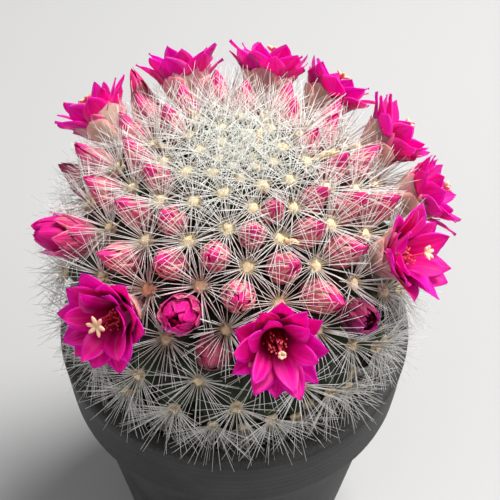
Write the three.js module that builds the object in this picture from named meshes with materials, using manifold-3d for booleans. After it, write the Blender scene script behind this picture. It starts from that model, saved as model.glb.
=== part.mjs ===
// Potted mammillaria cactus in flower, in millimetres, +Z up.
// The origin is the middle of the pot's flat underside, and the front faces -Y.
import * as THREE from 'three';
import { ConvexHull } from 'three/addons/math/ConvexHull.js';
import { mergeVertices } from 'three/addons/utils/BufferGeometryUtils.js';
import Module from 'manifold-3d';

const wasm = await Module();
wasm.setup();

// Pot, a small round clay one
const POT_HEIGHT = 50;
const POT_RIM_RADIUS = 28;
const POT_BASE_RADIUS = 19.5;
const COLLAR_HEIGHT = 12;
const COLLAR_STEP = 2.2;
const COLLAR_TAPER = 0.8;
const EDGE_ROUNDING = 0.8;
const POT_SIDES = 28;
const POT_FLOOR = 4;
const POT_MOUTH_RADIUS = 24.6;
const POT_FLOOR_RADIUS = 16.8;
const DRAIN_HOLES = 3;
const DRAIN_HOLE_RADIUS = 2.5;
const DRAIN_HOLE_OFFSET = 9;
const SOIL_TOP = 46.5;
const SOIL_UNEVENNESS = 0.5;
const SOIL_EDGE_DROP = 0.6;
const SOIL_INNER_RING = 0.78;
const CLEARANCE = 0.3;

// Plant body, a slightly flattened ball whose areoles lie on one surface
const PLANT_CENTRE = new THREE.Vector3(0, 0, 63);
const AREOLE_RADIUS = 25.5;
const FLATNESS = 0.893;
const LEAN = THREE.MathUtils.degToRad(2.4);
const VALLEY_DEPTH = 4;
const VALLEY_REACH = 0.55;
const TUBERCLE_TOP = 0.1;
const BODY_UNDERSIDE = 47.2;

// Neck and root below the body, as radii and heights from the middle of the body
const NECK_RADIUS = 10.6;
const NECK_TOP = -16.6;
const ROOT_RADIUS = 7;
const ROOT_BOTTOM = -29;

// Spiral order of the tubercles, counted from the crown
const DIVERGENCE = THREE.MathUtils.degToRad(-137.505);
const FIRST_AZIMUTH = THREE.MathUtils.degToRad(288.7);
const TUBERCLES = 114;
const ALL_TUBERCLES = 150;
const BARE_TUBERCLE_SHARE = 0.5;
const CROWN_TUBERCLES = 16;
const LOW_TUBERCLES = 98;
const SPIRALS = [8, 13, 21];

// Spines
const SPINE_LENGTH = 6.4;
const CROWN_SPINE_LENGTH = 2.8;
const SPINE_RISE = 28;
const CROWN_SPINE_RISE = 58;
const SPINES = 10;
const CROWN_SPINES = 6;
const LOW_SPINES = 8;
const SPINE_LENGTH_SPREAD = 0.08;
const SPINE_RISE_SPREAD = 7;
const SPINE_TURN_SPREAD = 0.2;
const SPINE_SPACE = 0.4;
const SPINE_BLOOM_GAP = 0.45;
const LOWEST_SPINE_TIP = 51.2;
const WOOL_RADIUS = 0.65;
const WOOL_HEIGHT = 0.35;

// Blooms: each stands in the axil above one tubercle. The lean is in degrees, towards the crown
// and towards the east, from straight out of the body.
const FLOWER_SEAT = 0.8;
const BUD_SEAT = 1.1;
const BUD_WIDTH_SHARE = 0.29;
const CROWN_BUD_LENGTH = 3;
const BUD_GROWTH = 0.08;
const BUD_SIDES = 6;
const BLOOM_SPIN = 1.7;
const BLOOM_HALF_GAP = 0.25;
const BEND_START = 0.7;
const OPEN_FLOWERS = [
  { axil: 67, up: 6, east: -2 }, { axil: 70, up: -4, east: -2 }, { axil: 72, up: 4, east: -6 },
  { axil: 73, up: 2, east: -2 }, { axil: 75, up: 6, east: -9 }, { axil: 76, up: 1, east: -4 },
  { axil: 77, up: 1, east: -8 }, { axil: 78, up: -6, east: 0 }, { axil: 79, up: 0, east: 6 },
];
const OPENING_FLOWERS = [
  { axil: 71, up: 2, east: 4, size: 0.88 }, { axil: 74, up: -8, east: -2, size: 1 },
  { axil: 81, up: 8, east: -12, size: 0.76 },
];
const SPENT_FLOWERS = [
  { axil: 84, up: 9, east: 0, length: 8.5 }, { axil: 85, up: 10, east: -8, length: 13 },
  { axil: 90, up: -4, east: -8, length: 8.5 },
];
const FIRST_BUD_AXIL = 39;
const LAST_BUD_AXIL = 69;
const SMALL_BUD_AXILS = [34, 36];
const BUD_LEANS = {
  34: [-12, -6], 39: [-10, 3], 40: [-8, 2], 42: [-5, 0], 45: [-6, 4], 47: [-6, 6], 48: [-6, -8],
  50: [-8, -2], 55: [-4, 8], 56: [-8, -8], 57: [-10, 5], 65: [6, -8], 68: [-8, 4], 69: [-6, -8],
};

// Room that a bloom takes up, as heights above its foot and radii
const OPEN_ENVELOPE = [[0, 0.2], [1, 0.95], [5.4, 2.6], [9, 4.1], [12.4, 6.7], [14, 6.7]];
const OPENING_ENVELOPE = [[0, 0.2], [1, 0.95], [4.6, 2.7], [9, 3.3], [11.2, 3], [12, 1.2]];

// Whorls of petals that stand on a cup, as radii and heights above the foot of the flower
const PETALS = 8;
const OUTER_WHORL = {
  foot: [[0, 0], [0.9, 1], [2.5, 5.4]], tip: [6.6, 12.4], notch: [3.9, 9], floor: [1.9, 7.6],
  edge: [0.3, 0.6], halfTurn: 0,
};
const INNER_WHORL = {
  foot: [[0, 5.1], [1.7, 6.7]], tip: [4.9, 13.1], notch: [2.9, 9.7], floor: [1.5, 8.3],
  edge: [0.35, 0.55], halfTurn: 1,
};
const OPENING_WHORL = {
  foot: [[0, 0], [0.9, 1], [2.6, 4.6]], tip: [3.2, 10.6], notch: [3, 8.2], floor: [1.7, 6.6],
  edge: [0.65, 0.1], halfTurn: 0,
};
const OPENING_HEART = [[0, 4.6], [1.4, 6.2], [1.9, 8.6], [1.3, 10.6], [0, 11.8]];
const HEART_RIDGE = 1.06;
const HEART_FURROW = 0.9;
const STIGMA_LOBES = 5;

function seededRandom(seed) {
  let state = seed >>> 0;
  return () => {
    state = (state + 0x6d2b79f5) >>> 0;
    let mixed = Math.imul(state ^ (state >>> 15), 1 | state);
    mixed = (mixed + Math.imul(mixed ^ (mixed >>> 7), 61 | mixed)) ^ mixed;
    return ((mixed ^ (mixed >>> 14)) >>> 0) / 4294967296;
  };
}

const random = seededRandom(7);
const spread = (amount) => (random() * 2 - 1) * amount;

// A closed geometry becomes a solid that can be joined and cut
function toSolid(geometry) {
  geometry.deleteAttribute('normal');
  geometry.deleteAttribute('uv');
  const merged = mergeVertices(geometry, 1e-4);
  const corners = merged.getIndex().array;
  const kept = [];
  for (let i = 0; i < corners.length; i += 3) {
    const [a, b, c] = [corners[i], corners[i + 1], corners[i + 2]];
    if (a !== b && b !== c && c !== a) kept.push(a, b, c);
  }
  const vertProperties = new Float32Array(merged.getAttribute('position').array);
  const point = (i) => new THREE.Vector3().fromArray(vertProperties, i * 3);
  let volume = 0;
  for (let i = 0; i < kept.length; i += 3) {
    volume += point(kept[i]).dot(point(kept[i + 1]).cross(point(kept[i + 2])));
  }
  if (volume < 0) {
    for (let i = 0; i < kept.length; i += 3) [kept[i], kept[i + 1]] = [kept[i + 1], kept[i]];
  }
  const triVerts = new Uint32Array(kept);
  return new wasm.Manifold(new wasm.Mesh({ numProp: 3, vertProperties, triVerts }));
}

// A turned shape whose points may be moved round the turn: place(level, turn) gives each one
function turnedSolid(levels, turns, place) {
  const profile = Array.from({ length: levels }, (_, level) => new THREE.Vector2(1, level));
  const geometry = new THREE.LatheGeometry(profile, turns);
  const position = geometry.getAttribute('position');
  for (let turn = 0; turn <= turns; turn += 1) {
    for (let level = 0; level < levels; level += 1) {
      const point = place(level, turn % turns);
      position.setXYZ(turn * levels + level, point.x, point.y, point.z);
    }
  }
  return toSolid(geometry);
}

// A plain turned shape from [radius, height] pairs
function plainTurnedSolid(profile, turns, matrix = new THREE.Matrix4()) {
  return turnedSolid(profile.length, turns, (level, turn) => {
    const [radius, height] = profile[level];
    return ringPoint(radius, (turn / turns) * Math.PI * 2, height).applyMatrix4(matrix);
  });
}

function ringPoint(radius, angle, height) {
  return new THREE.Vector3(radius * Math.cos(angle), radius * Math.sin(angle), height);
}

// The biggest body of a solid, without loose scraps
function mainBody(solid) {
  return solid.decompose().reduce((best, body) => (body.volume() > best.volume() ? body : best));
}

// Places on the plant: a direction is a point of the unit ball in the plant's own upright frame
function polarAngle(k) {
  const degrees = 1 + 0.76 * Math.sqrt(k) + 0.642 * k + 0.0035 * k ** 2 - 0.0000126 * k ** 3;
  return THREE.MathUtils.degToRad(degrees);
}

function direction(k) {
  return new THREE.Vector3().setFromSphericalCoords(1, polarAngle(k), 0)
    .applyMatrix4(new THREE.Matrix4().makeRotationX(Math.PI / 2))
    .applyAxisAngle(new THREE.Vector3(0, 0, 1), Math.PI / 2 + FIRST_AZIMUTH + DIVERGENCE * k);
}

function axilDirection(k) {
  const sum = direction(k);
  for (const step of SPIRALS) sum.add(direction(k - step));
  return sum.normalize();
}

function spacing(k) {
  const band = Math.cos(polarAngle(Math.max(k - 0.5, 0))) - Math.cos(polarAngle(k + 0.5));
  return AREOLE_RADIUS * Math.sqrt(2 * Math.PI * band);
}

function tubercleHeight(k) {
  return Math.min(VALLEY_DEPTH, 0.52 * spacing(k));
}

const leaned = (vector) => vector.applyAxisAngle(new THREE.Vector3(0, 1, 0), LEAN);

function surfacePoint(way, factor) {
  const point = way.clone().multiply(new THREE.Vector3(1, 1, FLATNESS));
  return leaned(point.multiplyScalar(factor * AREOLE_RADIUS)).add(PLANT_CENTRE);
}

// A frame that stands on the plant: Z leaves the body, Y points to the crown, X to the east
function frameOnPlant(way, factor, up = 0, east = 0, spin = 0) {
  const outward = leaned(way.clone().divide(new THREE.Vector3(1, 1, FLATNESS)).normalize());
  const eastward = leaned(new THREE.Vector3(-way.y, way.x, 0).normalize());
  const crownward = outward.clone().cross(eastward);
  const axis = outward.clone()
    .addScaledVector(crownward, Math.tan(THREE.MathUtils.degToRad(up)))
    .addScaledVector(eastward, Math.tan(THREE.MathUtils.degToRad(east)))
    .normalize();
  const side = eastward.clone().addScaledVector(axis, -eastward.dot(axis)).normalize();
  side.applyAxisAngle(axis, spin);
  const front = axis.clone().cross(side);
  return new THREE.Matrix4().makeBasis(side, front, axis).setPosition(surfacePoint(way, factor));
}

// Pot
function potRadiusInside(height) {
  const share = (height - POT_FLOOR) / (POT_HEIGHT - POT_FLOOR);
  return THREE.MathUtils.lerp(POT_FLOOR_RADIUS, POT_MOUTH_RADIUS, share);
}

function makePot() {
  const collarBottom = POT_HEIGHT - COLLAR_HEIGHT;
  const collarRadius = POT_RIM_RADIUS - COLLAR_TAPER;
  const pot = plainTurnedSolid([
    [0, 0], [POT_BASE_RADIUS - EDGE_ROUNDING, 0], [POT_BASE_RADIUS, EDGE_ROUNDING],
    [collarRadius - COLLAR_STEP, collarBottom - EDGE_ROUNDING / 2],
    [collarRadius, collarBottom + EDGE_ROUNDING / 2], [POT_RIM_RADIUS, POT_HEIGHT - EDGE_ROUNDING],
    [POT_RIM_RADIUS - EDGE_ROUNDING, POT_HEIGHT], [POT_MOUTH_RADIUS + EDGE_ROUNDING / 2, POT_HEIGHT],
    [POT_MOUTH_RADIUS, POT_HEIGHT - EDGE_ROUNDING / 2], [POT_FLOOR_RADIUS, POT_FLOOR], [0, POT_FLOOR],
  ], POT_SIDES);
  const [below, above] = [-1, POT_FLOOR + 1];
  const profile = [[0, below], [DRAIN_HOLE_RADIUS, below], [DRAIN_HOLE_RADIUS, above], [0, above]];
  const holes = Array.from({ length: DRAIN_HOLES }, (_, hole) => {
    const place = ringPoint(DRAIN_HOLE_OFFSET, (hole / DRAIN_HOLES + 0.25) * Math.PI * 2, 0);
    return plainTurnedSolid(profile, 8, new THREE.Matrix4().setPosition(place));
  });
  return holes.reduce((cut, hole) => cut.subtract(hole), pot);
}

// Soil, with the hole that the plant stands in
const uprightPlant = new THREE.Matrix4().makeTranslation(PLANT_CENTRE)
  .multiply(new THREE.Matrix4().makeRotationY(LEAN));

function makeSoil() {
  const heights = () => Array.from({ length: POT_SIDES }, () => SOIL_TOP + spread(SOIL_UNEVENNESS));
  const inner = heights();
  const outer = heights().map((height) => height - SOIL_EDGE_DROP);
  const bottom = POT_FLOOR + CLEARANCE;
  const radiusAt = (height) => potRadiusInside(height) - CLEARANCE * 1.2;
  const levels = [
    () => [0, SOIL_TOP],
    (turn) => [radiusAt(SOIL_TOP) * SOIL_INNER_RING, inner[turn]],
    (turn) => [radiusAt(outer[turn]), outer[turn]],
    () => [radiusAt(bottom), bottom],
    () => [0, bottom],
  ];
  const soil = turnedSolid(levels.length, POT_SIDES, (level, turn) => {
    const [radius, height] = levels[level](turn);
    return ringPoint(radius, (turn / POT_SIDES) * Math.PI * 2, height);
  });
  const hole = plainTurnedSolid([
    [0, ROOT_BOTTOM - CLEARANCE], [ROOT_RADIUS + CLEARANCE, ROOT_BOTTOM - CLEARANCE],
    [NECK_RADIUS + 1, NECK_TOP + 1.2], [NECK_RADIUS + 6, NECK_TOP + 5], [0, NECK_TOP + 5],
  ], 16, uprightPlant);
  return soil.subtract(hole);
}

// Blooms
const budEnvelope = (length, radius) => [
  [0, 0.1], [0.1 * length, 0.35 * radius], [0.3 * length, 0.9 * radius],
  [0.5 * length, radius], [0.78 * length, 0.55 * radius], [length, 0.1],
];

function envelopeRadius({ envelope }, height) {
  if (height <= envelope[0][0]) return envelope[0][1];
  for (let i = 1; i < envelope.length; i += 1) {
    const [lowHeight, lowRadius] = envelope[i - 1];
    const [topHeight, topRadius] = envelope[i];
    if (height <= topHeight) {
      return THREE.MathUtils.mapLinear(height, lowHeight, topHeight, lowRadius, topRadius);
    }
  }
  return 0;
}

function standingBloom({ axil, up, east }, above) {
  const seat = 1 - (TUBERCLE_TOP + tubercleHeight(axil) - above) / AREOLE_RADIUS;
  const frame = frameOnPlant(axilDirection(axil), seat, up, east, axil * BLOOM_SPIN);
  const base = new THREE.Vector3().setFromMatrixPosition(frame);
  const axis = new THREE.Vector3().setFromMatrixColumn(frame, 2);
  return { frame, base, axis };
}

function describeFlower(place, shape) {
  const { size = 1 } = place;
  const envelope = shape.map(([height, radius]) => [height * size, radius * size]);
  return { ...standingBloom(place, FLOWER_SEAT), size, envelope };
}

function describeBud(place) {
  const { length = CROWN_BUD_LENGTH + BUD_GROWTH * place.axil } = place;
  const radius = BUD_WIDTH_SHARE * spacing(place.axil);
  return { ...standingBloom(place, BUD_SEAT), length, radius, envelope: budEnvelope(length, radius) };
}

function budPlaces() {
  const flowers = [...OPEN_FLOWERS, ...OPENING_FLOWERS, ...SPENT_FLOWERS].map((flower) => flower.axil);
  const axils = [...SMALL_BUD_AXILS];
  for (let axil = FIRST_BUD_AXIL; axil <= LAST_BUD_AXIL; axil += 1) {
    if (!flowers.includes(axil)) axils.push(axil);
  }
  return axils.map((axil) => {
    const [up, east] = BUD_LEANS[axil] ?? [-3, 0];
    return { axil, up, east };
  });
}

const openFlowers = OPEN_FLOWERS.map((place) => describeFlower(place, OPEN_ENVELOPE));
const openingFlowers = OPENING_FLOWERS.map((place) => describeFlower(place, OPENING_ENVELOPE));
const spentFlowers = SPENT_FLOWERS.map(describeBud);
const buds = budPlaces().map(describeBud);
const blooms = [...openFlowers, ...openingFlowers, ...spentFlowers, ...buds];

// Points that would reach into a neighbour are bent back to a shared boundary
function bentClear(point, bloom) {
  const height = point.clone().sub(bloom.base).dot(bloom.axis);
  const own = bloom.base.clone().addScaledVector(bloom.axis, height);
  const ownRadius = Math.max(envelopeRadius(bloom, height), 0.3);
  for (const other of blooms) {
    const otherRadius = envelopeRadius(other, height);
    if (other === bloom || otherRadius <= 0) continue;
    const towards = other.base.clone().addScaledVector(other.axis, height).sub(own);
    const distance = towards.length();
    if (distance > ownRadius + otherRadius + 1) continue;
    towards.normalize();
    const limit = (distance * ownRadius) / (ownRadius + otherRadius) - BLOOM_HALF_GAP;
    const softStart = limit * BEND_START;
    const reach = point.clone().sub(own).dot(towards);
    if (reach <= softStart) continue;
    const room = limit - softStart;
    const bent = softStart + room * (1 - Math.exp(-(reach - softStart) / room));
    point.addScaledVector(towards, bent - reach);
  }
  return point;
}

function bloomSolid(bloom, levels, turns, localPoint) {
  return turnedSolid(levels, turns, (level, turn) => (
    bentClear(localPoint(level, turn).applyMatrix4(bloom.frame), bloom)
  ));
}

// One whorl of petals on a cup: the rim runs from petal tip to the notch between two petals
function petalWhorl(bloom, { foot, tip, notch, floor, edge, halfTurn }) {
  const turns = PETALS * 2;
  const [floorRadius, floorHeight] = floor;
  return bloomSolid(bloom, foot.length + 4, turns, (level, turn) => {
    const angle = ((turn + halfTurn) / turns) * Math.PI * 2;
    const [rimRadius, rimHeight] = turn % 2 === 0 ? tip : notch;
    const rim = [[rimRadius, rimHeight], [rimRadius - edge[0], rimHeight + edge[1]]];
    const [radius, height] = [...foot, ...rim, floor, [0, floorHeight - floorRadius * 0.8]][level];
    return ringPoint(radius, angle, height).multiplyScalar(bloom.size);
  });
}

function makeOpenFlower(bloom) {
  return petalWhorl(bloom, OUTER_WHORL).add(petalWhorl(bloom, INNER_WHORL));
}

function makeOpeningFlower(bloom) {
  const heart = bloomSolid(bloom, OPENING_HEART.length, PETALS, (level, turn) => {
    const [radius, height] = OPENING_HEART[level];
    const angle = ((turn + 0.5) / PETALS) * Math.PI * 2;
    const ridge = turn % 2 === 0 ? HEART_RIDGE : HEART_FURROW;
    return ringPoint(radius * ridge, angle, height).multiplyScalar(bloom.size);
  });
  return petalWhorl(bloom, OPENING_WHORL).add(heart);
}

function makeBud(bloom) {
  const { length, radius } = bloom;
  const profile = [
    [0, 0], [0.32 * radius, 0.1 * length], [0.87 * radius, 0.3 * length], [0.96 * radius, 0.5 * length],
    [0.5 * radius, 0.78 * length], [0, length],
  ];
  return bloomSolid(bloom, profile.length, BUD_SIDES, (level, turn) => {
    const [around, height] = profile[level];
    return ringPoint(around, ((turn + 0.25 * (level % 2)) / BUD_SIDES) * Math.PI * 2, height);
  });
}

// Stamens, style and stigma of one open flower
function makePistil(bloom) {
  const turns = STIGMA_LOBES * 2;
  const levels = [
    () => [0, 7.5], (lobe) => (lobe ? [1.5, 10.2] : [0.9, 9.2]), () => [0.4, 9.7], () => [0.35, 13.3],
    (lobe) => (lobe ? [1.4, 14.1] : [0.5, 13.7]), () => [0, 14.2],
  ];
  return turnedSolid(levels.length, turns, (level, turn) => {
    const [radius, height] = levels[level](turn % 2 === 0);
    return ringPoint(radius, (turn / turns) * Math.PI * 2, height).applyMatrix4(bloom.frame);
  });
}

// Spines lean and shorten where they would reach into a bloom or another spine
const placedSpines = [];

function distanceToSpine(point, spine) {
  return new THREE.Line3(spine.root, spine.tip).closestPointToPoint(point, true, new THREE.Vector3())
    .distanceTo(point);
}

function crossesSpine(point) {
  return placedSpines.some((spine) => (
    spine.root.distanceTo(point) < SPINE_LENGTH * 1.2 && distanceToSpine(point, spine) < SPINE_SPACE
  ));
}

function insideBloom(point) {
  return blooms.some((bloom) => {
    const height = point.clone().sub(bloom.base).dot(bloom.axis);
    const [top] = bloom.envelope.at(-1);
    if (height < -1 || height > top + SPINE_BLOOM_GAP) return false;
    const foot = bloom.base.clone().addScaledVector(bloom.axis, height);
    return point.distanceTo(foot) < envelopeRadius(bloom, height) * 1.05 + SPINE_BLOOM_GAP;
  });
}

function spineTip(frame, angle, rise, length) {
  const slope = THREE.MathUtils.degToRad(rise);
  const tip = ringPoint(length * Math.cos(slope), angle, length * Math.sin(slope)).applyMatrix4(frame);
  tip.z = Math.max(tip.z, LOWEST_SPINE_TIP);
  return tip;
}

function clearShare(root, tip) {
  for (let share = 0.2; share <= 1.001; share += 0.1) {
    const point = root.clone().lerp(tip, share);
    if (insideBloom(point) || (share > 0.35 && crossesSpine(point))) return share - 0.2;
  }
  return 1;
}

function clearSpineTip(frame, angle, rise, length) {
  const root = new THREE.Vector3().setFromMatrixPosition(frame);
  let best = { share: -1 };
  for (const steeper of [0, 10, 20, 30, 40]) {
    for (const turn of [0, -0.15, 0.15]) {
      const tip = spineTip(frame, angle + turn, Math.min(rise + steeper, 80), length);
      const share = clearShare(root, tip);
      if (share === 1) return tip;
      if (share > best.share) best = { share, tip };
    }
  }
  return root.lerp(best.tip, Math.max(best.share, 0.15));
}

// The body's surface rises into a cone under each areole and falls to a valley between them
function bodyPoint(way, areoles) {
  let nearest = areoles[0];
  for (const areole of areoles) {
    if (areole.way.distanceTo(way) < nearest.way.distanceTo(way)) nearest = areole;
  }
  const away = (nearest.way.distanceTo(way) * AREOLE_RADIUS) / (VALLEY_REACH * spacing(nearest.k));
  const bare = nearest.k < TUBERCLES ? 1 : BARE_TUBERCLE_SHARE;
  const sunk = TUBERCLE_TOP + tubercleHeight(nearest.k) * (1 - bare * Math.max(0, 1 - away));
  const point = surfacePoint(way, 1 - sunk / AREOLE_RADIUS);
  point.z = Math.max(point.z, BODY_UNDERSIDE);
  return point;
}

// Each areole gets a ring: the points half way to its neighbours and the valleys between those
function makeAreoles() {
  const areoles = Array.from({ length: ALL_TUBERCLES }, (_, k) => ({ k, way: direction(k), ring: new Set() }));
  const byWay = new Map(areoles.map((areole) => [areole.way, areole]));
  const meanPoint = (ways) => {
    const sum = ways.reduce((total, way) => total.add(way), new THREE.Vector3());
    return bodyPoint(sum.normalize(), areoles);
  };
  const halves = new Map();
  for (const face of new ConvexHull().setFromPoints([...byWay.keys()]).faces) {
    const corners = [face.edge, face.edge.next, face.edge.prev].map((edge) => byWay.get(edge.head().point));
    const valley = meanPoint(corners.map((corner) => corner.way));
    corners.forEach((corner, i) => {
      const next = corners[(i + 1) % 3];
      const key = `${Math.min(corner.k, next.k)} ${Math.max(corner.k, next.k)}`;
      if (!halves.has(key)) halves.set(key, meanPoint([corner.way, next.way]));
      corner.ring.add(valley).add(halves.get(key));
      next.ring.add(halves.get(key));
    });
  }
  return areoles;
}

// Joins two rings of points, each in order of angle, by a band of triangles
function band(inner, outer) {
  const angleAt = (ring, i) => (
    i > ring.length ? Infinity : ring[i % ring.length].angle + Math.PI * 2 * Math.floor(i / ring.length)
  );
  const corners = [];
  let i = 0;
  let o = 0;
  while (i < inner.length || o < outer.length) {
    corners.push(inner[i % inner.length].point, outer[o % outer.length].point);
    if (angleAt(inner, i + 1) < angleAt(outer, o + 1)) {
      i += 1;
      corners.push(inner[i % inner.length].point);
    } else {
      o += 1;
      corners.push(outer[o % outer.length].point);
    }
  }
  return corners;
}

// A tubercle's flank below a star of spines that has a woolly middle
function tubercleCorners({ k, way, ring }) {
  const frame = frameOnPlant(way, 1, 0, 0, k * 0.9);
  const inverse = frame.clone().invert();
  const surround = [...ring].map((point) => {
    const local = point.clone().applyMatrix4(inverse);
    return { point, angle: (Math.atan2(local.y, local.x) + Math.PI * 2) % (Math.PI * 2) };
  });
  surround.sort((first, second) => first.angle - second.angle);
  if (k >= TUBERCLES) {
    const top = bodyPoint(way, [{ k, way }]);
    return surround.flatMap(({ point }, i) => [top, point, surround[(i + 1) % surround.length].point]);
  }
  const young = Math.max(0, 1 - k / CROWN_TUBERCLES);
  const count = k < CROWN_TUBERCLES ? CROWN_SPINES : k > LOW_TUBERCLES ? LOW_SPINES : SPINES;
  const length = THREE.MathUtils.lerp(SPINE_LENGTH, CROWN_SPINE_LENGTH, young);
  const rise = THREE.MathUtils.lerp(SPINE_RISE, CROWN_SPINE_RISE, young);
  const wool = Math.min(WOOL_RADIUS, 0.22 * spacing(k));
  const step = (Math.PI * 2) / count;
  const top = new THREE.Vector3(0, 0, WOOL_HEIGHT).applyMatrix4(frame);
  const foot = [];
  const tips = [];
  for (let i = 0; i < count; i += 1) {
    const middle = (i + 0.5) * step;
    foot.push({ angle: i * step, point: ringPoint(wool, i * step, 0.05).applyMatrix4(frame) });
    foot.push({ angle: middle, point: ringPoint(wool * 1.15, middle, -0.4).applyMatrix4(frame) });
    const angle = middle + spread(SPINE_TURN_SPREAD) * step;
    const steepness = rise + spread(SPINE_RISE_SPREAD);
    tips.push(clearSpineTip(frame, angle, steepness, length * (1 + spread(SPINE_LENGTH_SPREAD))));
  }
  const root = new THREE.Vector3().setFromMatrixPosition(frame);
  placedSpines.push(...tips.map((tip) => ({ root, tip })));
  const arms = tips.flatMap((tip, i) => {
    const [left, under, right] = [0, 1, 2].map((side) => foot[(i * 2 + side) % foot.length].point);
    return [top, left, tip, top, tip, right, left, under, tip, under, right, tip];
  });
  return [...band(foot, surround), ...arms];
}

function makeStem() {
  const corners = makeAreoles().flatMap(tubercleCorners);
  const body = toSolid(new THREE.BufferGeometry().setFromPoints(corners));
  const root = plainTurnedSolid([
    [0, NECK_TOP + 3], [NECK_RADIUS, NECK_TOP + 3], [NECK_RADIUS, NECK_TOP],
    [ROOT_RADIUS, ROOT_BOTTOM], [0, ROOT_BOTTOM],
  ], 14, uprightPlant);
  return body.add(root);
}

// Scene graph
const materials = {
  clay: { color: 0x383637, roughness: 0.8 },
  soil: { color: 0x3b2d22, roughness: 1 },
  stem: { color: 0x3a5233, roughness: 0.6 },
  petal: { color: 0xe5048f, roughness: 0.5 },
  bud: { color: 0xd2437c, roughness: 0.55 },
  spent: { color: 0xa8486a, roughness: 0.7 },
  pistil: { color: 0xf1c886, roughness: 0.6 },
};

const group = new THREE.Group();

function addPiece(name, solid, material) {
  const mesh = mainBody(solid).getMesh();
  const geometry = new THREE.BufferGeometry();
  geometry.setAttribute('position', new THREE.BufferAttribute(new Float32Array(mesh.vertProperties), 3));
  geometry.setIndex(new THREE.BufferAttribute(new Uint32Array(mesh.triVerts), 1));
  geometry.computeVertexNormals();
  const piece = new THREE.Mesh(geometry, new THREE.MeshStandardMaterial({ metalness: 0, ...materials[material] }));
  piece.name = name;
  group.add(piece);
}

function addBlooms(name, list, make, material) {
  list.forEach((bloom, index) => {
    addPiece(`${name}_${String(index + 1).padStart(2, '0')}`, make(bloom), material);
  });
}

addPiece('pot', makePot(), 'clay');
addPiece('soil', makeSoil(), 'soil');
addPiece('stem', makeStem(), 'stem');
addBlooms('flower', openFlowers, makeOpenFlower, 'petal');
addBlooms('pistil', openFlowers, makePistil, 'pistil');
addBlooms('opening_flower', openingFlowers, makeOpeningFlower, 'petal');
addBlooms('spent_flower', spentFlowers, makeBud, 'spent');
addBlooms('bud', buds, makeBud, 'bud');

export default group;
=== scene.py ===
import math
import random
from functools import partial

import bmesh
import bpy
import numpy as np
from bpy.props import FloatProperty, FloatVectorProperty, IntProperty, PointerProperty
from mathutils import Matrix, Vector, noise


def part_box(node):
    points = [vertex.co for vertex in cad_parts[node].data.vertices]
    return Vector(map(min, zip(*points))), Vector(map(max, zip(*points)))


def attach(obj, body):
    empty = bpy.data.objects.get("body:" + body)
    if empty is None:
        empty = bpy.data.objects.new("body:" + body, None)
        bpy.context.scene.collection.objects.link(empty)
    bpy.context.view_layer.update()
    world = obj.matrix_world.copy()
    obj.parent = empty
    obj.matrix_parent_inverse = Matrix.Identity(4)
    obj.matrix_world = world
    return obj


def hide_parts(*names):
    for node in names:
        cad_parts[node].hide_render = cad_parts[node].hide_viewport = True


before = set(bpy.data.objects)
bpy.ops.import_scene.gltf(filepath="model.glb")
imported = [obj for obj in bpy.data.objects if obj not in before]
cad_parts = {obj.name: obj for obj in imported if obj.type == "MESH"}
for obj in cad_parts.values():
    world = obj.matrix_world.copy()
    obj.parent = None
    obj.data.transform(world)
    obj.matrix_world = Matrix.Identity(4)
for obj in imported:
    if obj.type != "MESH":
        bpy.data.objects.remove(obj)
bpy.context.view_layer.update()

bl_info = {
    "name": "Potted cactus in flower",
    "version": (1, 0, 0),
    "blender": (4, 5, 0),
    "location": "3D View > Sidebar > Cactus",
    "description": "Gives a potted mammillaria its spines, wool, flowers and buds",
    "category": "Add Mesh",
}

# Every shape is worked out in millimetres and turned into metres when its piece is finished
MM = 0.001
TURN = math.pi * 2

# Shift of the picture, floor, light of the room, and soft lights with their place and width in metres
PICTURE_SHIFT = (0.0312, 0.0282)
FLOOR_RADIUS = 2.5
ROOM_COLOUR = (0.9, 0.92, 0.95, 1)
ROOM_LIGHT = 0.28
LIGHTS = (
    ("key_light", (0.2, 0.15, 0.58), 0.26, "key_power"),
    ("fill_light", (-0.5, -0.45, 0.3), 0.4, "fill_power"),
    ("side_light", (0.55, -0.2, 0.35), 0.4, "fill_power"),
)

# Plant body: a slightly flattened ball whose areoles lie on one surface
PLANT_CENTRE = Vector((0, 0, 63))
AREOLE_RADIUS = 25.5
FLATNESS = 0.893
LEAN = Matrix.Rotation(math.radians(2.4), 3, "Y")
BODY_UNDERSIDE = 47.2
NECK_RADIUS = 10.6
NECK_TOP = -16.6
ROOT_RADIUS = 7
ROOT_BOTTOM = -29

# Form of a tubercle: its valley, its top, its flat and how much of its side is straight or round
VALLEY_DEPTH = 4
VALLEY_REACH = 0.55
VALLEY_EDGE = 1.04
TUBERCLE_TOP = 0.1
TUBERCLE_RISE = 0.97
STRAIGHT_SHARE = 0.8
ROUND_SHARE = 0.2

# Spiral order of the tubercles, counted from the crown
DIVERGENCE = math.radians(-137.505)
FIRST_AZIMUTH = math.radians(288.7)
TUBERCLES = 150
SPINY_TUBERCLES = 138
CROWN_TUBERCLES = 16
SPIRALS = (8, 13, 21)

# Pot and soil; the size of the pot is read from the frame
POT_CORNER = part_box("pot")[1] / MM
POT_HEIGHT = POT_CORNER.z
POT_RIM_RADIUS = POT_CORNER.x
POT_BASE_RADIUS = 19.5
POT_MOUTH_RADIUS = 24.6
POT_FLOOR_RADIUS = 16.8
POT_FLOOR = 4
FOOT_ROUND = 1.2
RIM_ROUND = 1.1
MOUTH_ROUND = 0.8
COLLAR_HEIGHT = 12
COLLAR_STEP = 2.2
COLLAR_TAPER = 0.8
COLLAR_ROUND = 0.7
DRAIN_HOLES = 3
DRAIN_RADIUS = 2.5
DRAIN_AWAY = 9
SOIL_TOP = 46.5
GRIT_RADII = (0.4, 0.5, 0.6, 0.8, 1.0)
GRIT_INNER_RADIUS = 14.5
GAP = 0.3

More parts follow.
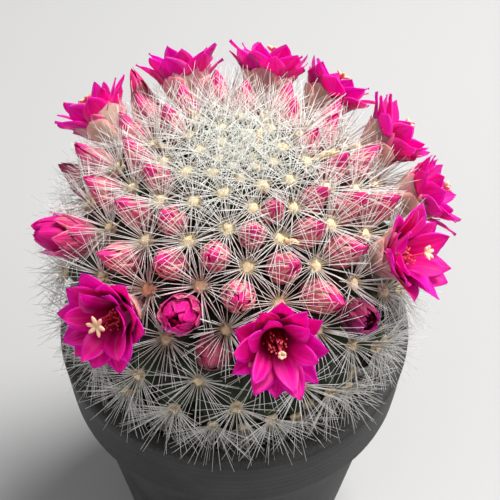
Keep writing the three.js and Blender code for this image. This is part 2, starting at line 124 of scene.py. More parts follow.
# Spines: bands of areoles, how stars turn, and the ways that a spine may rise or turn clear of a bloom
SPINE_BANDS = (("crown_spines", 0, 36), ("upper_spines", 36, 84), ("lower_spines", 84, SPINY_TUBERCLES))
AREOLE_SPIN = 0.9
SPINE_REACH = 16
STEEPEST_RISE = math.radians(84)
STEERING = [(rise, aside) for aside in (0, -9, 9, -18, 18) for rise in (0, 7, 14, 22, 30)]
WOOL_THREADS = 30
WOOL_LIFT = 0.06

# Dry remains of old flowers: the areole that holds one, where it points, its length and thickness
DRY_REMAINS = (
    (7, (0.1, 0.5, 1), 2.6, 0.5), (20, (-0.6, 0.6, 0.8), 2.5, 0.46), (23, (1, 0.1, 0.5), 4.4, 0.4),
    (30, (-0.4, 0.5, 0.8), 2, 0.45), (34, (0.75, -0.45, 0.3), 3.2, 0.34), (35, (0.8, -0.6, 0.4), 2.8, 0.34),
    (46, (0, 0.4, 0.9), 1.6, 0.42), (49, (0.9, -0.3, 0.5), 2.8, 0.38), (58, (0.5, -0.5, 0.7), 1.8, 0.34),
)

# Seats of the blooms in their axils, and how they bend clear of each other
FLOWER_SEAT = 0.8
BUD_SEAT = 1.1
BUD_WIDTH_SHARE = 0.29
BLOOM_SPIN = 1.7
BLOOM_HALF_GAP = 0.2
BEND_START = 0.7

# Open flowers: tubercle, lean to the crown and the east in degrees, petal width, stigma spread
OPEN_FLOWERS = (
    (67, 6, -2, 0.98, 0.9), (70, -4, -2, 0.9, 0.8), (72, 4, -6, 0.96, 1.1), (73, 2, -2, 0.9, 0.9),
    (75, 6, -9, 0.96, 1), (76, 1, -4, 0.84, 0.5), (77, 1, -8, 0.88, 1.2), (78, -6, 0, 0.82, 0.7),
    (79, 0, 6, 1.05, 1.25),
)

# Half open flowers: tubercle, leans, size, how far faded; spent flowers: the same with a height
OPENING_FLOWERS = ((71, 2, 4, 0.88, 0), (74, -8, -2, 1, 0), (81, 8, -12, 0.76, 0.9))
SPENT_FLOWERS = ((84, 9, 0, 8.5, 1), (85, 10, -8, 13, 0), (90, -4, -8, 8.5, 0.7))

# Tubercles that may have a bud in their axil, and the leans of those that don't lean as most do
BUD_AXILS = (34, 36, *range(39, 70))
BUD_LEAN = (-3, 0)
BUD_LEANS = {
    34: (-12, -6), 39: (-10, 3), 40: (-8, 2), 42: (-5, 0), 45: (-6, 4), 47: (-6, 6), 48: (-6, -8),
    50: (-8, -2), 55: (-4, 8), 56: (-8, -8), 57: (-10, 5), 65: (6, -8), 68: (-8, 4), 69: (-6, -8),
}

# Room that a bloom takes up: its radius at each height
OPEN_ROOM = ((0, 0.2), (1, 0.95), (5.4, 2.6), (9, 4.1), (12.4, 6.7), (14, 6.7))
OPENING_ROOM = ((0, 0.2), (1, 0.95), (4.6, 2.7), (9, 3.3), (11.2, 3), (12, 1.2))
BUD_ROOM = ((0, 0.1), (0.1, 0.35), (0.3, 0.9), (0.5, 1), (0.78, 0.55), (1, 0.1))

# Tubes and the bud's core: radii and heights up the wall, then the mouth and the floor of a tube
OPEN_TUBE = (((0.8, 0.9), (1.35, 2.6), (1.95, 4.4), (2.15, 5.6)), 1.9, 4.9)
OPENING_TUBE = (((0.8, 0.9), (1.5, 2.2), (2.3, 4.2), (2.4, 5.4)), 2.1, 5.0)
BUD_CORE = (
    (0, -0.25), (0.35, -0.2), (0.5, 0.08), (0.86, 0.34), (0.74, 0.56), (0.4, 0.78), (0.1, 0.95), (0, 0.97),
)

# Whorls of open flowers: count, first turn, foot, bend and tip by radius and height, half width, hollow
OPEN_SEPALS = (
    (6, 0.8, ((0.95, 0.9), (2.3, 3.6), (3.5, 7.2)), 1.7, (1.5, 2.8)),
    (8, 0.3, ((1.25, 2.0), (2.8, 5.8), (4.7, 9.7)), 1.5, (1.6, 3.2)),
)
OPEN_PETALS = (
    (6, 0.0, ((1.75, 3.8), (2.8, 8.4), (7.0, 11.1)), 2.45, (2.2, 5.0)),
    (6, 0.5, ((1.65, 4.2), (2.5, 8.9), (6.6, 12.0)), 2.35, (2.1, 4.6)),
    (6, 0.25, ((1.5, 4.7), (2.1, 9.4), (5.3, 12.7)), 2.0, (1.9, 4.0)),
)

# Papery sepals on the crown's side of an open flower: turn aside, height and half width
PAPERY_SEPALS = ((-0.13, 8.6, 2.0), (0, 9.4, 2.6), (0.12, 8.3, 2.0))

# Whorls of half open flowers, without the hollow that they share
OPENING_SEPALS = (
    (7, 0.0, ((0.9, 1.2), (3.3, 4.4), (3.3, 8.6)), 1.7),
    (7, 0.5, ((1.2, 2.6), (3.4, 6.0), (3.0, 10.3)), 1.7),
)
OPENING_PETALS = (
    (6, 0.2, ((1.3, 4.2), (4.0, 8.2), (1.9, 12.0)), 2.0),
    (6, 0.7, ((1.2, 4.4), (3.6, 8.2), (1.5, 11.8)), 1.8),
    (5, 0.4, ((1.0, 4.6), (2.8, 8.0), (0.9, 11.0)), 1.6),
)

# Whorls of scales round a bud of width and height 1, with their range of shades
BUD_SCALES = (
    (5, 0.0, ((0.35, -0.05), (1.5, 0.2), (0.86, 0.56)), 0.66, (0, 0.4)),
    (5, 0.5, ((0.4, 0.02), (1.56, 0.34), (0.64, 0.74)), 0.66, (0, 0.4)),
    (5, 0.1, ((0.6, 0.2), (1.26, 0.52), (0.34, 0.9)), 0.56, (0.1, 0.6)),
    (4, 0.4, ((0.5, 0.4), (0.85, 0.7), (0.06, 1.05)), 0.46, (0.8, 1)),
)
SCALE_OVERLAP = 1.15
PETAL_THICKNESS = 0.12

# Stamens: how many, the heights of their feet and bends, and the range of their tops; the style's ends
STAMENS = 40
OPENING_STAMENS = 34
STAMEN_FOOT = 4.9
STAMEN_BEND = 7.2
STAMEN_TOPS = (7.6, 9.8)
OPENING_STAMEN_TOPS = (8.6, 10)
STYLE_FOOT = 4.6
STYLE_TOP = 11.9

# What a point of a mesh knows: its place along and across its petal or spine, the outside, a shade
TRAITS = ("along", "across", "outside", "shade")

# How far red, green and blue light spread in a petal and in a papery sepal
PETAL_GLOW = (1, 0.2, 0.6)
PAPER_GLOW = (1, 0.75, 0.6)


def part_way(first, second, share):
    return first + (second - first) * share


def around(turn, away=1.0, height=0.0):
    """The place at that turn, distance and height about the upright axis"""
    return Vector((away * math.cos(turn), away * math.sin(turn), height))


def moved(points, matrix):
    matrix = np.array(matrix)
    return points @ matrix[:3, :3].T + matrix[:3, 3]


def sized(path, wide, tall):
    return [(radius * wide, height * tall) for radius, height in path]


def curve_point(start, bend, end, t):
    return start * (1 - t) ** 2 + bend * 2 * t * (1 - t) + end * t ** 2


def curve_run(start, bend, end, t):
    """The direction of the curve, not brought to length 1"""
    return (bend - start) * (1 - t) + (end - bend) * t


def polar_angle(k):
    """The angle of areole k from the crown"""
    return math.radians(1 + 0.76 * math.sqrt(k) + 0.642 * k + 0.0035 * k ** 2 - 0.0000126 * k ** 3)


def direction(k):
    polar = polar_angle(k)
    return around(FIRST_AZIMUTH + DIVERGENCE * k, math.sin(polar), math.cos(polar))


def axil_direction(k):
    total = direction(k)
    for step in SPIRALS:
        total += direction(k - step)
    return total.normalized()


def spacing(k):
    """The distance from areole k to its neighbours"""
    band = math.cos(polar_angle(max(k - 0.5, 0))) - math.cos(polar_angle(k + 0.5))
    return AREOLE_RADIUS * math.sqrt(TURN * band)


def tubercle_height(k):
    return min(VALLEY_DEPTH, 0.52 * spacing(k))


def surface_point(way, share):
    point = Vector((way.x, way.y, way.z * FLATNESS)) * (share * AREOLE_RADIUS)
    return LEAN @ point + PLANT_CENTRE


def standing(way, share, up=0, east=0, spin=0):
    """A matrix that stands on the plant: Z leaves the body, Y points to the crown"""
    outward = LEAN @ Vector((way.x, way.y, way.z / FLATNESS)).normalized()
    eastward = LEAN @ Vector((-way.y, way.x, 0)).normalized()
    crownward = outward.cross(eastward)
    lean = crownward * math.tan(math.radians(up)) + eastward * math.tan(math.radians(east))
    axis = (outward + lean).normalized()
    side = (eastward - axis * eastward.dot(axis)).normalized()
    side = Matrix.Rotation(spin, 3, axis) @ side
    matrix = Matrix((side, axis.cross(side), axis)).transposed().to_4x4()
    matrix.translation = surface_point(way, share)
    return matrix


def areole_matrix(k):
    return standing(direction(k), 1, spin=k * AREOLE_SPIN)


class Bloom:
    """A flower or bud: where it stands, the room that it takes up and what sets it apart"""

    def __init__(self, axil, up, east, seat, room, tall=1, wide=1, petal_width=1, spread=1, fading=0):
        sunk = TUBERCLE_TOP + tubercle_height(axil) - seat
        share = 1 - sunk / AREOLE_RADIUS
        self.axil = axil
        self.tall = tall
        self.wide = wide
        self.petal_width = petal_width
        self.spread = spread
        self.fading = fading
        self.matrix = standing(axil_direction(axil), share, up, east, axil * BLOOM_SPIN)
        self.base = np.array(self.matrix.translation)
        self.axis = np.array(self.matrix.col[2].xyz)
        self.heights, self.radii = (np.array(room) * (tall, wide)).T

    def radius_at(self, heights):
        return np.interp(heights, self.heights, self.radii, right=0)

    def place(self, points):
        """Points of the bloom, moved to the plant and bent clear of its neighbours"""
        points = moved(points, self.matrix)
        heights = (points - self.base) @ self.axis
        own = self.base + np.outer(heights, self.axis)
        own_radius = np.maximum(self.radius_at(heights), 0.3)
        for other in BLOOMS:
            if other is self:
                continue
            other_radius = other.radius_at(heights)
            towards = other.base + np.outer(heights, other.axis) - own
            distance = np.linalg.norm(towards, axis=1)
            towards /= distance[:, None]
            limit = distance * own_radius / (own_radius + other_radius) - BLOOM_HALF_GAP
            start = limit * BEND_START
            room = limit - start
            reach = ((points - own) * towards).sum(1)
            bent = start + room * (1 - np.exp(-np.maximum(reach - start, 0) / room))
            near = (other_radius > 0) & (distance < own_radius + other_radius + 1) & (reach > start)
            points = points + np.where(near, bent - reach, 0)[:, None] * towards
        return points


def bud_bloom(axil, up, east, tall=None, fading=0):
    tall = tall or 3 + 0.08 * axil
    return Bloom(axil, up, east, BUD_SEAT, BUD_ROOM, tall, BUD_WIDTH_SHARE * spacing(axil), fading=fading)


OPEN_BLOOMS = [
    Bloom(axil, up, east, FLOWER_SEAT, OPEN_ROOM, petal_width=width, spread=spread)
    for axil, up, east, width, spread in OPEN_FLOWERS
]
OPENING_BLOOMS = [
    Bloom(axil, up, east, FLOWER_SEAT, OPENING_ROOM, size, size, fading=fading)
    for axil, up, east, size, fading in OPENING_FLOWERS
]
SPENT_BLOOMS = [bud_bloom(*flower) for flower in SPENT_FLOWERS]
FLOWER_AXILS = {bloom.axil for bloom in OPEN_BLOOMS + OPENING_BLOOMS}
BUDS = [bud_bloom(axil, *BUD_LEANS.get(axil, BUD_LEAN)) for axil in BUD_AXILS if axil not in FLOWER_AXILS]
BLOOMS = OPEN_BLOOMS + OPENING_BLOOMS + SPENT_BLOOMS + BUDS


# Materials

class Wire:
    """A value in a material's nodes; arithmetic on it adds Math nodes"""

    def __init__(self, paint, socket):
        self.paint = paint
        self.socket = socket

    def maths(self, operation, *values):
        return self.paint.node("ShaderNodeMath", {"operation": operation}, values)

    def __add__(self, other):
        return self.maths("ADD", self, other)

    def __sub__(self, other):
        return self.maths("SUBTRACT", self, other)

    def __rsub__(self, other):
        return self.maths("SUBTRACT", other, self)

    def __mul__(self, other):
        return self.maths("MULTIPLY", self, other)

    __radd__ = __add__
    __rmul__ = __mul__

    def size(self):
        return self.maths("ABSOLUTE", self)

    def between(self, low, high):
        """0 up to low and 1 from high, with a smooth step"""
        values = {"Value": self, "From Min": low, "From Max": high}
        return self.paint.node("ShaderNodeMapRange", {"interpolation_type": "SMOOTHSTEP"}, values)


class Paint:
    def __init__(self, name, **constants):
        self.material = bpy.data.materials.new(name)
        self.material.use_nodes = True
        self.tree = self.material.node_tree
        self.finish(**constants)

    def finish(self, **values):
        """Feeds sockets of the surface shader, named in lower case, and gives the material"""
        inputs = self.tree.nodes["Principled BSDF"].inputs
        for name, value in values.items():
            self.feed(inputs[name.replace("_", " ").title().replace("Ior", "IOR")], value)
        return self.material

    def feed(self, socket, value):
        if isinstance(value, Wire):
            self.tree.links.new(value.socket, socket)
        elif socket.type == "RGBA":
            socket.default_value = (*value, 1)
        else:
            socket.default_value = value

    def node(self, kind, settings, values=(), output=0):
        node = self.tree.nodes.new(kind)
        for name, value in settings.items():
            setattr(node, name, value)
        sockets = [socket for socket in node.inputs if socket.enabled]
        pairs = values.items() if isinstance(values, dict) else enumerate(values)
        for key, value in pairs:
            self.feed(next(s for i, s in enumerate(sockets) if key in (i, s.name)), value)
        outputs = [socket for socket in node.outputs if socket.enabled]
        return Wire(self, outputs[output])

    def trait(self, name):
        return self.node("ShaderNodeAttribute", {"attribute_name": name}, output=2)

    def place(self):
        return self.node("ShaderNodeTexCoord", {}, output=3)

    def lumps(self, vector, scale=1.0, detail=3.0, roughness=0.55):
        values = {"Scale": scale, "Detail": detail, "Roughness": roughness, "Vector": vector}
        return self.node("ShaderNodeTexNoise", {}, values)

    def grain(self, size, **kind):
        """Noise whose lumps are about that many millimetres"""
        return self.lumps(self.place(), 1 / (size * MM), **kind)

    def streaks(self, across, along, shade):
        """Noise drawn out along a petal"""
        values = {"X": self.trait("across") * across, "Y": self.trait("along") * along}
        values["Z"] = self.trait("shade") * shade
        return self.lumps(self.node("ShaderNodeCombineXYZ", {}, values))

    def mix(self, share, first, second):
        settings = {"data_type": "RGBA", "clamp_factor": True}
        return self.node("ShaderNodeMix", settings, {"Factor": share, "A": first, "B": second})

    def bump(self, height, strength, depth):
        values = {"Strength": strength, "Distance": depth * MM, "Height": height}
        return self.node("ShaderNodeBump", {}, values)


def petal_paint(name, throat, heart, edge, foot, rib, pale, streaky, glow=PETAL_GLOW):
    """Petals: throat, heart and edge colour their inside; foot, rib and pale their outside"""
    paint = Paint(
        name, specular_ior_level=0.12, subsurface_weight=0.6, subsurface_radius=glow, subsurface_scale=0.0012
    )
    along = paint.trait("along")
    across = paint.trait("across").size()
    streak = paint.streaks(5.0, 0.8, 31.0)
    vein = paint.streaks(14.0, 0.8, 17.0)
    inside = paint.mix(along.between(0.12, 0.5), throat, heart)
    inside = paint.mix((across * along).between(0.3, 0.95) * 0.8, inside, edge)
    middle = 1 - across.between(0.08, 0.5)
    back = paint.mix(along.between(0.15, 0.62), foot, heart)
    back = paint.mix(middle * along.between(0.9, 0.2) * 0.7, back, rib)
    back = paint.mix(across.between(0.5, 1.0) * along.between(0.8, 0.2) * 0.6, back, pale)
    back = paint.mix((across * along).between(0.5, 1.0) * 0.5, back, edge)
    colour = paint.mix(paint.trait("outside"), inside, back)
    colour = paint.mix(paint.trait("shade").between(0.5, 1.0) * along * 0.7, colour, edge)
    colour = paint.mix(streak.between(0.45, 0.75) * streaky, colour, pale)
    colour = paint.mix(vein.between(0.5, 0.75) * (0.15 + 0.4 * streaky), colour, rib)
    normal = paint.bump(vein + streak * 0.5, 0.5, 0.12)
    return paint.finish(base_color=colour, roughness=streak * 0.3 + 0.3, normal=normal)


def faded(share, target, *colours):
    """Colours on their way to the colour of a spent flower"""
    return [tuple(Vector(colour).lerp(Vector(target), share)) for colour in colours]


def flower_paint(settings, throat, edge, fading=0.0):
    inside = faded(fading, settings.spent, throat, settings.heart, edge)
    outside = faded(fading, settings.spent_pale, settings.foot, settings.rib, settings.pale)
    return petal_paint("petal", *inside, *outside, streaky=0.12 + 0.3 * fading)


def sepal_paint(settings, tip, fading=0.0, glow=PETAL_GLOW):
    inside = faded(fading, settings.spent, settings.heart, tip, settings.heart)
    outside = faded(fading, settings.spent_pale, settings.sepal, settings.sepal_rib, settings.cream)
    return petal_paint("sepal", *inside, *outside, streaky=0.7, glow=glow)


def bud_paint(name, foot, flank, warm, tip, pale):
    """Scales of a bud: dull at the foot, bright at the tip, some of them warmer than others"""
    paint = Paint(name, subsurface_weight=0.12, subsurface_radius=(1.0, 0.4, 0.4), subsurface_scale=0.0006)
    along = paint.trait("along")
    across = paint.trait("across").size()
    shade = paint.trait("shade")
    streak = paint.streaks(6.0, 1.1, 23.0)
    vein = paint.streaks(16.0, 1.2, 11.0)
    colour = paint.mix(shade.between(0.0, 0.5), flank, warm)
    colour = paint.mix((across * 0.5 + streak).between(0.6, 0.95) * 0.65, colour, pale)
    colour = paint.mix(shade.between(0.55, 0.75), colour, tip)
    colour = paint.mix((along - across * 0.4).between(0.55, 0.85) * 0.75, colour, tip)
    colour = paint.mix(vein.between(0.5, 0.75) * 0.5, colour, foot)
    colour = paint.mix(along.between(0.3, 0.0), colour, foot)
    normal = paint.bump(vein, 0.6, 0.12)
    return paint.finish(base_color=colour, roughness=streak * 0.3 + 0.3, normal=normal)


def skin_paint(settings):
    paint = Paint("cactus_skin", specular_ior_level=0.25)
    rise = paint.trait("along")
    mottle = paint.grain(1.6)
    pores = paint.grain(0.22)
    # Painted shade: the valleys between the tubercles are painted near black, where shade falls between them
    colour = paint.mix(rise.between(0.0, 0.75), settings.valley_shade_and_mottle, settings.skin_colour)
    colour = paint.mix(rise.between(0.7, 1.0) * 0.7, colour, settings.top_colour)
    # Random darker mottle, in the same near-black colour as the painted valley shade
    colour = paint.mix(mottle.between(0.45, 0.75) * 0.5, colour, settings.valley_shade_and_mottle)
    normal = paint.bump(pores + mottle * 2, 0.6, 0.12)
    return paint.finish(base_color=colour, roughness=pores * 0.3 + 0.35, normal=normal)


def spine_paint(settings):
    paint = Paint("spine", subsurface_weight=0.25, subsurface_radius=(1, 1, 0.9), subsurface_scale=0.0003)
    shade = paint.trait("shade")
    foot = paint.trait("along").between(0.02, 0.28)
    colour = paint.mix(foot, settings.foot_colour, settings.spine_colour)
    # Greyer with the spine's age and further down the plant: partly real ageing, partly painted shade for the
    # dimmer lower part
    colour = paint.mix(shade, colour, settings.old_and_shaded_colour)
    return paint.finish(base_color=colour, roughness=0.3 + shade * 0.15)


def wool_paint(settings):
    paint = Paint("wool", sheen_weight=0.4, sheen_roughness=0.5)
    fibres = paint.grain(0.12, detail=4.0)
    # Old wool lower on the plant is lighter: partly its own colour, partly painted light that lifts the
    # shaded lower areoles
    colour = paint.mix(paint.trait("shade"), settings.wool_colour, settings.old_and_lit_wool_colour)
    colour = paint.mix(fibres.between(0.35, 0.65) * 0.7, colour, settings.wool_light)
    normal = paint.bump(fibres, 1.0, 0.15)
    return paint.finish(base_color=colour, roughness=0.9 + fibres * 0.05, normal=normal)


def plain_paint(name, colour, roughness, **constants):
    """A small soft part, with a light and a dark end"""
    paint = Paint(name, **constants)
    speck = paint.grain(0.1)
    dark = tuple(channel * 0.55 for channel in colour)
    mixed = paint.mix(paint.trait("along").between(0, 0.9) * 0.7 + speck * 0.4, dark, colour)
    normal = paint.bump(speck, 0.3, 0.05)
    return paint.finish(base_color=mixed, roughness=speck * 0.1 + roughness, normal=normal)


def clay_paint(settings):
    paint = Paint("pot_clay")
    grain = paint.grain(0.35, detail=5.0)
    cloud = paint.grain(9.0)
    height = paint.node("ShaderNodeSeparateXYZ", {}, [paint.place()], output=2)
    rings = paint.node("ShaderNodeCombineXYZ", {}, {"Z": height * (0.8 / MM)})
    throwing = paint.lumps(rings, detail=2.0)
    colour = paint.mix(cloud.between(0.4, 0.7) * 0.5, settings.clay_colour, settings.clay_light)
    colour = paint.mix(grain.between(0.55, 0.72) * 0.35, colour, settings.clay_light)
    rim = height.between((POT_HEIGHT - RIM_ROUND) * MM, POT_HEIGHT * MM)
    colour = paint.mix(rim * grain.between(0.4, 0.6) * 0.5, colour, settings.clay_light)
    normal = paint.bump(grain + throwing * 1.5, 0.45, 0.25)
    return paint.finish(base_color=colour, roughness=cloud * 0.25 + 0.5, normal=normal)


def soil_paint(settings):
    paint = Paint("potting_soil")
    crumbs = paint.grain(0.8, detail=6.0, roughness=0.7)
    patches = paint.grain(5.0)
    colour = paint.mix(crumbs.between(0.4, 0.7), settings.soil_colour, settings.soil_light)
    colour = paint.mix(patches.between(0.4, 0.7) * 0.5, colour, settings.soil_colour)
    return paint.finish(base_color=colour, roughness=crumbs * 0.1 + 0.85, normal=paint.bump(crumbs, 1.0, 0.8))


def grit_paint(settings):
    paint = Paint("grit")
    shade = paint.trait("shade")
    speck = paint.grain(0.3, detail=4.0)
    colour = paint.mix(shade.between(0.3, 0.5), settings.grit_dark, settings.grit_brown)
    colour = paint.mix(shade.between(0.62, 0.9), colour, settings.grit_pale)
    colour = paint.mix(speck.between(0.4, 0.7) * 0.4, colour, settings.grit_dark)
    return paint.finish(base_color=colour, roughness=speck * 0.2 + 0.7, normal=paint.bump(speck, 0.8, 0.2))


# Shapes

def new_shape():
    shape = bmesh.new()
    for name in TRAITS:
        shape.verts.layers.float.new(name)
    return shape


def give(shape, verts, **values):
    """Writes traits onto points"""
    for name, value in values.items():
        layer = shape.verts.layers.float[name]
        for vert in verts:
            vert[layer] = value


def new_object(name, shape, *materials):
    """Turns a shape into an object of the scene"""
    mesh = bpy.data.meshes.new(name)
    shape.to_mesh(mesh)
    shape.free()
    for material in materials:
        mesh.materials.append(material)
    made = bpy.data.objects.new(name, mesh)
    bpy.context.scene.collection.objects.link(made)
    return made


class Piece:
    """Gathers small shapes into one finished object of the cactus"""

    def __init__(self, name, slot, *materials):
        self.name = name
        self.slot = slot
        self.materials = materials
        self.shape = new_shape()

    def add(self, shape, place=None, material=0):
        """Adds a closed shape; place() moves its points, an array in millimetres"""
        bmesh.ops.recalc_face_normals(shape, faces=shape.faces)
        for face in shape.faces:
            face.material_index = material
            face.smooth = True
        part = bpy.data.meshes.new("part")
        shape.to_mesh(part)
        shape.free()
        if place:
            points = np.empty(len(part.vertices) * 3)
            part.vertices.foreach_get("co", points)
            part.vertices.foreach_set("co", place(points.reshape(-1, 3)).ravel())
        self.shape.from_mesh(part)
        bpy.data.meshes.remove(part)

    def finish(self, *nodes):
        bmesh.ops.scale(self.shape, vec=(MM, MM, MM), verts=self.shape.verts)
        piece = new_object(self.name, self.shape, *self.materials)
        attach(piece, "root")
        if nodes:
            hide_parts(*nodes)
        return piece


def turned(profile, steps):
    """A turned shape from radii and heights that start and end on the axis"""
    shape = new_shape()
    points = [shape.verts.new((radius, 0, height)) for radius, height in profile]
    line = [shape.edges.new(pair) for pair in zip(points, points[1:])]
    bmesh.ops.spin(
        shape, geom=points + line, cent=(0, 0, 0), axis=(0, 0, 1), angle=TURN, steps=steps, use_merge=True
    )
    bmesh.ops.remove_doubles(shape, verts=shape.verts, dist=1e-5)
    return shape


def smooth_line(profile, steps):
    """More points on a line, along a curve through the given ones"""
    points = [Vector(point) for point in profile]
    ends = [points[0], *points, points[-1]]
    line = []
    for before, start, end, after in zip(ends, ends[1:], ends[2:], ends[3:]):
        for step in range(steps):
            t = step / steps
            pull = (end - before) * (t - 2 * t ** 2 + t ** 3) + (after - start) * (t ** 3 - t ** 2)
            line.append(start * (1 - 3 * t ** 2 + 2 * t ** 3) + end * (3 * t ** 2 - 2 * t ** 3) + pull / 2)
    return [tuple(point) for point in (*line, points[-1])]


def add_petal(shape, turn, path, half_width, hollow, form, shade, fineness):
    """A petal; form is its widest place, bluntness, sideways turn and the waves of its edge"""
    peak, bluntness, veer, waves = form
    layers = shape.verts.layers.float
    start, bend, tip = path
    grid = bmesh.ops.create_grid(shape, x_segments=fineness[0], y_segments=fineness[1], size=1)["verts"]
    for vert in grid:
        across = vert.co.x
        along = (vert.co.y + 1) / 2
        vert[layers["across"]] = across
        vert[layers["along"]] = along
        vert[layers["shade"]] = shade
        run = curve_run(start, bend, tip, along).normalized()
        if along < peak:
            width = half_width * (0.4 + 0.6 * math.sin(along / peak * math.pi / 2))
        else:
            width = half_width * max(1 - ((along - peak) / (1 - peak)) ** bluntness, 0.03)
        rounding = part_way(*hollow, along)
        angle = across * width / rounding
        wave = waves * across ** 2 * along * math.sin(along * 9 + shade * 40 + across)
        rise = Vector((-run.y, run.x)) * (rounding * (1 - math.cos(angle)) + wave)
        point = curve_point(start, bend, tip, along) + rise
        side = rounding * math.sin(angle) + veer * along ** 2
        vert.co.x = point.x * math.cos(turn) - side * math.sin(turn)
        vert.co.y = point.x * math.sin(turn) + side * math.cos(turn)
        vert.co.z = point.y
    faces = list({face for vert in grid for face in vert.link_faces})
    made = bmesh.ops.solidify(shape, geom=faces, thickness=PETAL_THICKNESS)["geom"]
    give(shape, [item for item in made if isinstance(item, bmesh.types.BMVert)], outside=1)


def add_whorl(
    piece, bloom, chance, count, first, path, half_width, hollow, material=0,
    wild=1.0, peak=0.6, bluntness=2.2, fineness=(6, 14), shades=(0, 1)
):
    """Petals round a bloom; wild scales how much they differ"""
    for number in range(count):
        turn = (number + first + chance.uniform(-0.12, 0.12) * wild) / count * TURN
        start, bend, tip = (Vector(point) for point in path)
        tip += Vector((chance.uniform(-0.6, 0.2), chance.uniform(-0.7, 0.6))) * wild
        bend += Vector((chance.uniform(-0.2, 0.2), chance.uniform(-0.3, 0.3))) * wild
        width = half_width * (1 + chance.uniform(-0.12, 0.12) * wild)
        blunt = bluntness + chance.uniform(-0.4, 0.4) * wild
        form = (peak, blunt, chance.uniform(-0.6, 0.6) * wild, 0.22 * wild)
        shape = new_shape()
        add_petal(shape, turn, (start, bend, tip), width, hollow, form, chance.uniform(*shades), fineness)
        piece.add(shape, bloom.place, material)


def add_tube(piece, bloom, wall, mouth, floor, size=1):
    """The closed cup that the petals stand on, dark inside"""
    top = wall[-1][1]
    outside = smooth_line([(0, -0.9), (0.55, -0.8), *wall], 3)
    inside = [(mouth, top + 0.05), (mouth - 0.5, floor - 0.4), (0, floor - 0.8)]
    shape = turned(sized([*outside, *inside], size, size), 20)
    layers = shape.verts.layers.float
    for vert in shape.verts:
        away = math.hypot(vert.co.x, vert.co.y)
        deep = vert.co.z > (floor - 0.9) * size and away < (mouth + 0.02) * size
        vert[layers["outside"]] = 0 if deep else 1
        vert[layers["along"]] = 0 if deep else 0.3 * vert.co.z / (top * size)
        vert[layers["across"]] = 0.4
    piece.add(shape, bloom.place)


def threads(curves, radii, sides=3, steps=2, tip=0.2, shade=0.5):
    """Tapering threads along curves of three points, with the function that lays them there"""
    shape = new_shape()
    for number in range(len(curves)):
        matrix = Matrix.Translation((number * 10, 0, 0.5))
        bmesh.ops.create_cone(
            shape, cap_ends=True, segments=sides, radius1=1, radius2=tip, depth=1, matrix=matrix
        )
    if steps > 1:
        long_edges = [edge for edge in shape.edges if abs(edge.verts[0].co.z - edge.verts[1].co.z) > 0.5]
        bmesh.ops.subdivide_edges(shape, edges=long_edges, cuts=steps - 1, use_grid_fill=True)
    along = shape.verts.layers.float["along"]
    for vert in shape.verts:
        vert[along] = vert.co.z
    give(shape, shape.verts, shade=shade)
    curves = np.array(curves, float)
    radii = np.array(radii, float)

    def lay(points):
        number = np.rint(points[:, 0] / 10).astype(int)
        t = points[:, 2:3]
        curve = [curves[number, i] for i in range(3)]
        run = curve_run(*curve, t)
        run /= np.linalg.norm(run, axis=1)[:, None]
        helper = np.where(np.abs(run[:, 2:3]) < 0.9, (0.0, 0.0, 1.0), (1.0, 0.0, 0.0))
        side = np.cross(helper, run)
        side /= np.linalg.norm(side, axis=1)[:, None]
        up = np.cross(run, side)
        across = points[:, 0:1] - number[:, None] * 10
        return curve_point(*curve, t) + (side * across + up * points[:, 1:2]) * radii[number][:, None]

    return shape, lay


def pebble(chance, radius, squash, subdivisions=2, roughness=0.3):
    """A lumpy little ball"""
    shape = new_shape()
    bmesh.ops.create_icosphere(shape, subdivisions=subdivisions, radius=1)
    offset = Vector((chance.uniform(0, 90), chance.uniform(0, 90), chance.uniform(0, 90)))
    for vert in shape.verts:
        lump = 1 + roughness * noise.noise(vert.co * 1.6 + offset)
        vert.co = Vector((vert.co.x, vert.co.y, vert.co.z * squash)) * radius * lump
    return shape


# Settings that the sidebar shows

def colour_setting(name, description, default):
    return FloatVectorProperty(
        name=name, description=description, default=default, subtype="COLOR", size=3, min=0.0, max=1.0
    )


def number_setting(name, description, default, subtype="NONE"):
    return FloatProperty(name=name, description=description, default=default, subtype=subtype)


def angle_setting(name, description, degrees):
    return number_setting(name, description, math.radians(degrees), "ANGLE")


def count_setting(name, description, default, least=0):
    return IntProperty(name=name, description=description, default=default, min=least)


class StageSettings(bpy.types.PropertyGroup):
    """Floor, lights and camera"""

    elevation: angle_setting("Elevation", "Angle of the camera above the level", 49.767)
    distance: number_setting("Distance", "From the camera to the middle of the plant", 0.18862, "DISTANCE")
    lens: number_setting("Lens", "Focal length", 88.85, "DISTANCE_CAMERA")
    shift: FloatVectorProperty(
        name="Shift", description="Shift of the picture as shares of its width", size=2, default=PICTURE_SHIFT
    )
    floor_colour: colour_setting("Floor", "Colour of the floor", (0.42, 0.415, 0.41))
    key_power: number_setting("Key light", "Power of the large soft light", 6, "POWER")
    fill_power: number_setting("Fill light", "Power of the two side lights", 1.35, "POWER")


class PotSettings(bpy.types.PropertyGroup):
    """Pot, soil and grit"""

    clay_colour: colour_setting("Clay", "Colour of the pot", (0.015, 0.0145, 0.015))
    clay_light: colour_setting("Worn clay", "Colour of rubbed places", (0.055, 0.052, 0.05))
    soil_colour: colour_setting("Soil", "Darker colour of the soil", (0.02, 0.013, 0.009))
    soil_light: colour_setting("Dry soil", "Lighter colour of the soil", (0.09, 0.06, 0.04))
    grit_dark: colour_setting("Dark grit", "Colour of the dark stones", (0.03, 0.028, 0.026))
    grit_brown: colour_setting("Brown grit", "Colour of the brown stones", (0.2, 0.12, 0.075))
    grit_pale: colour_setting("Pale grit", "Colour of the pale stones", (0.5, 0.46, 0.4))
    stones: count_setting("Stones", "Stones of grit on the soil", 420)


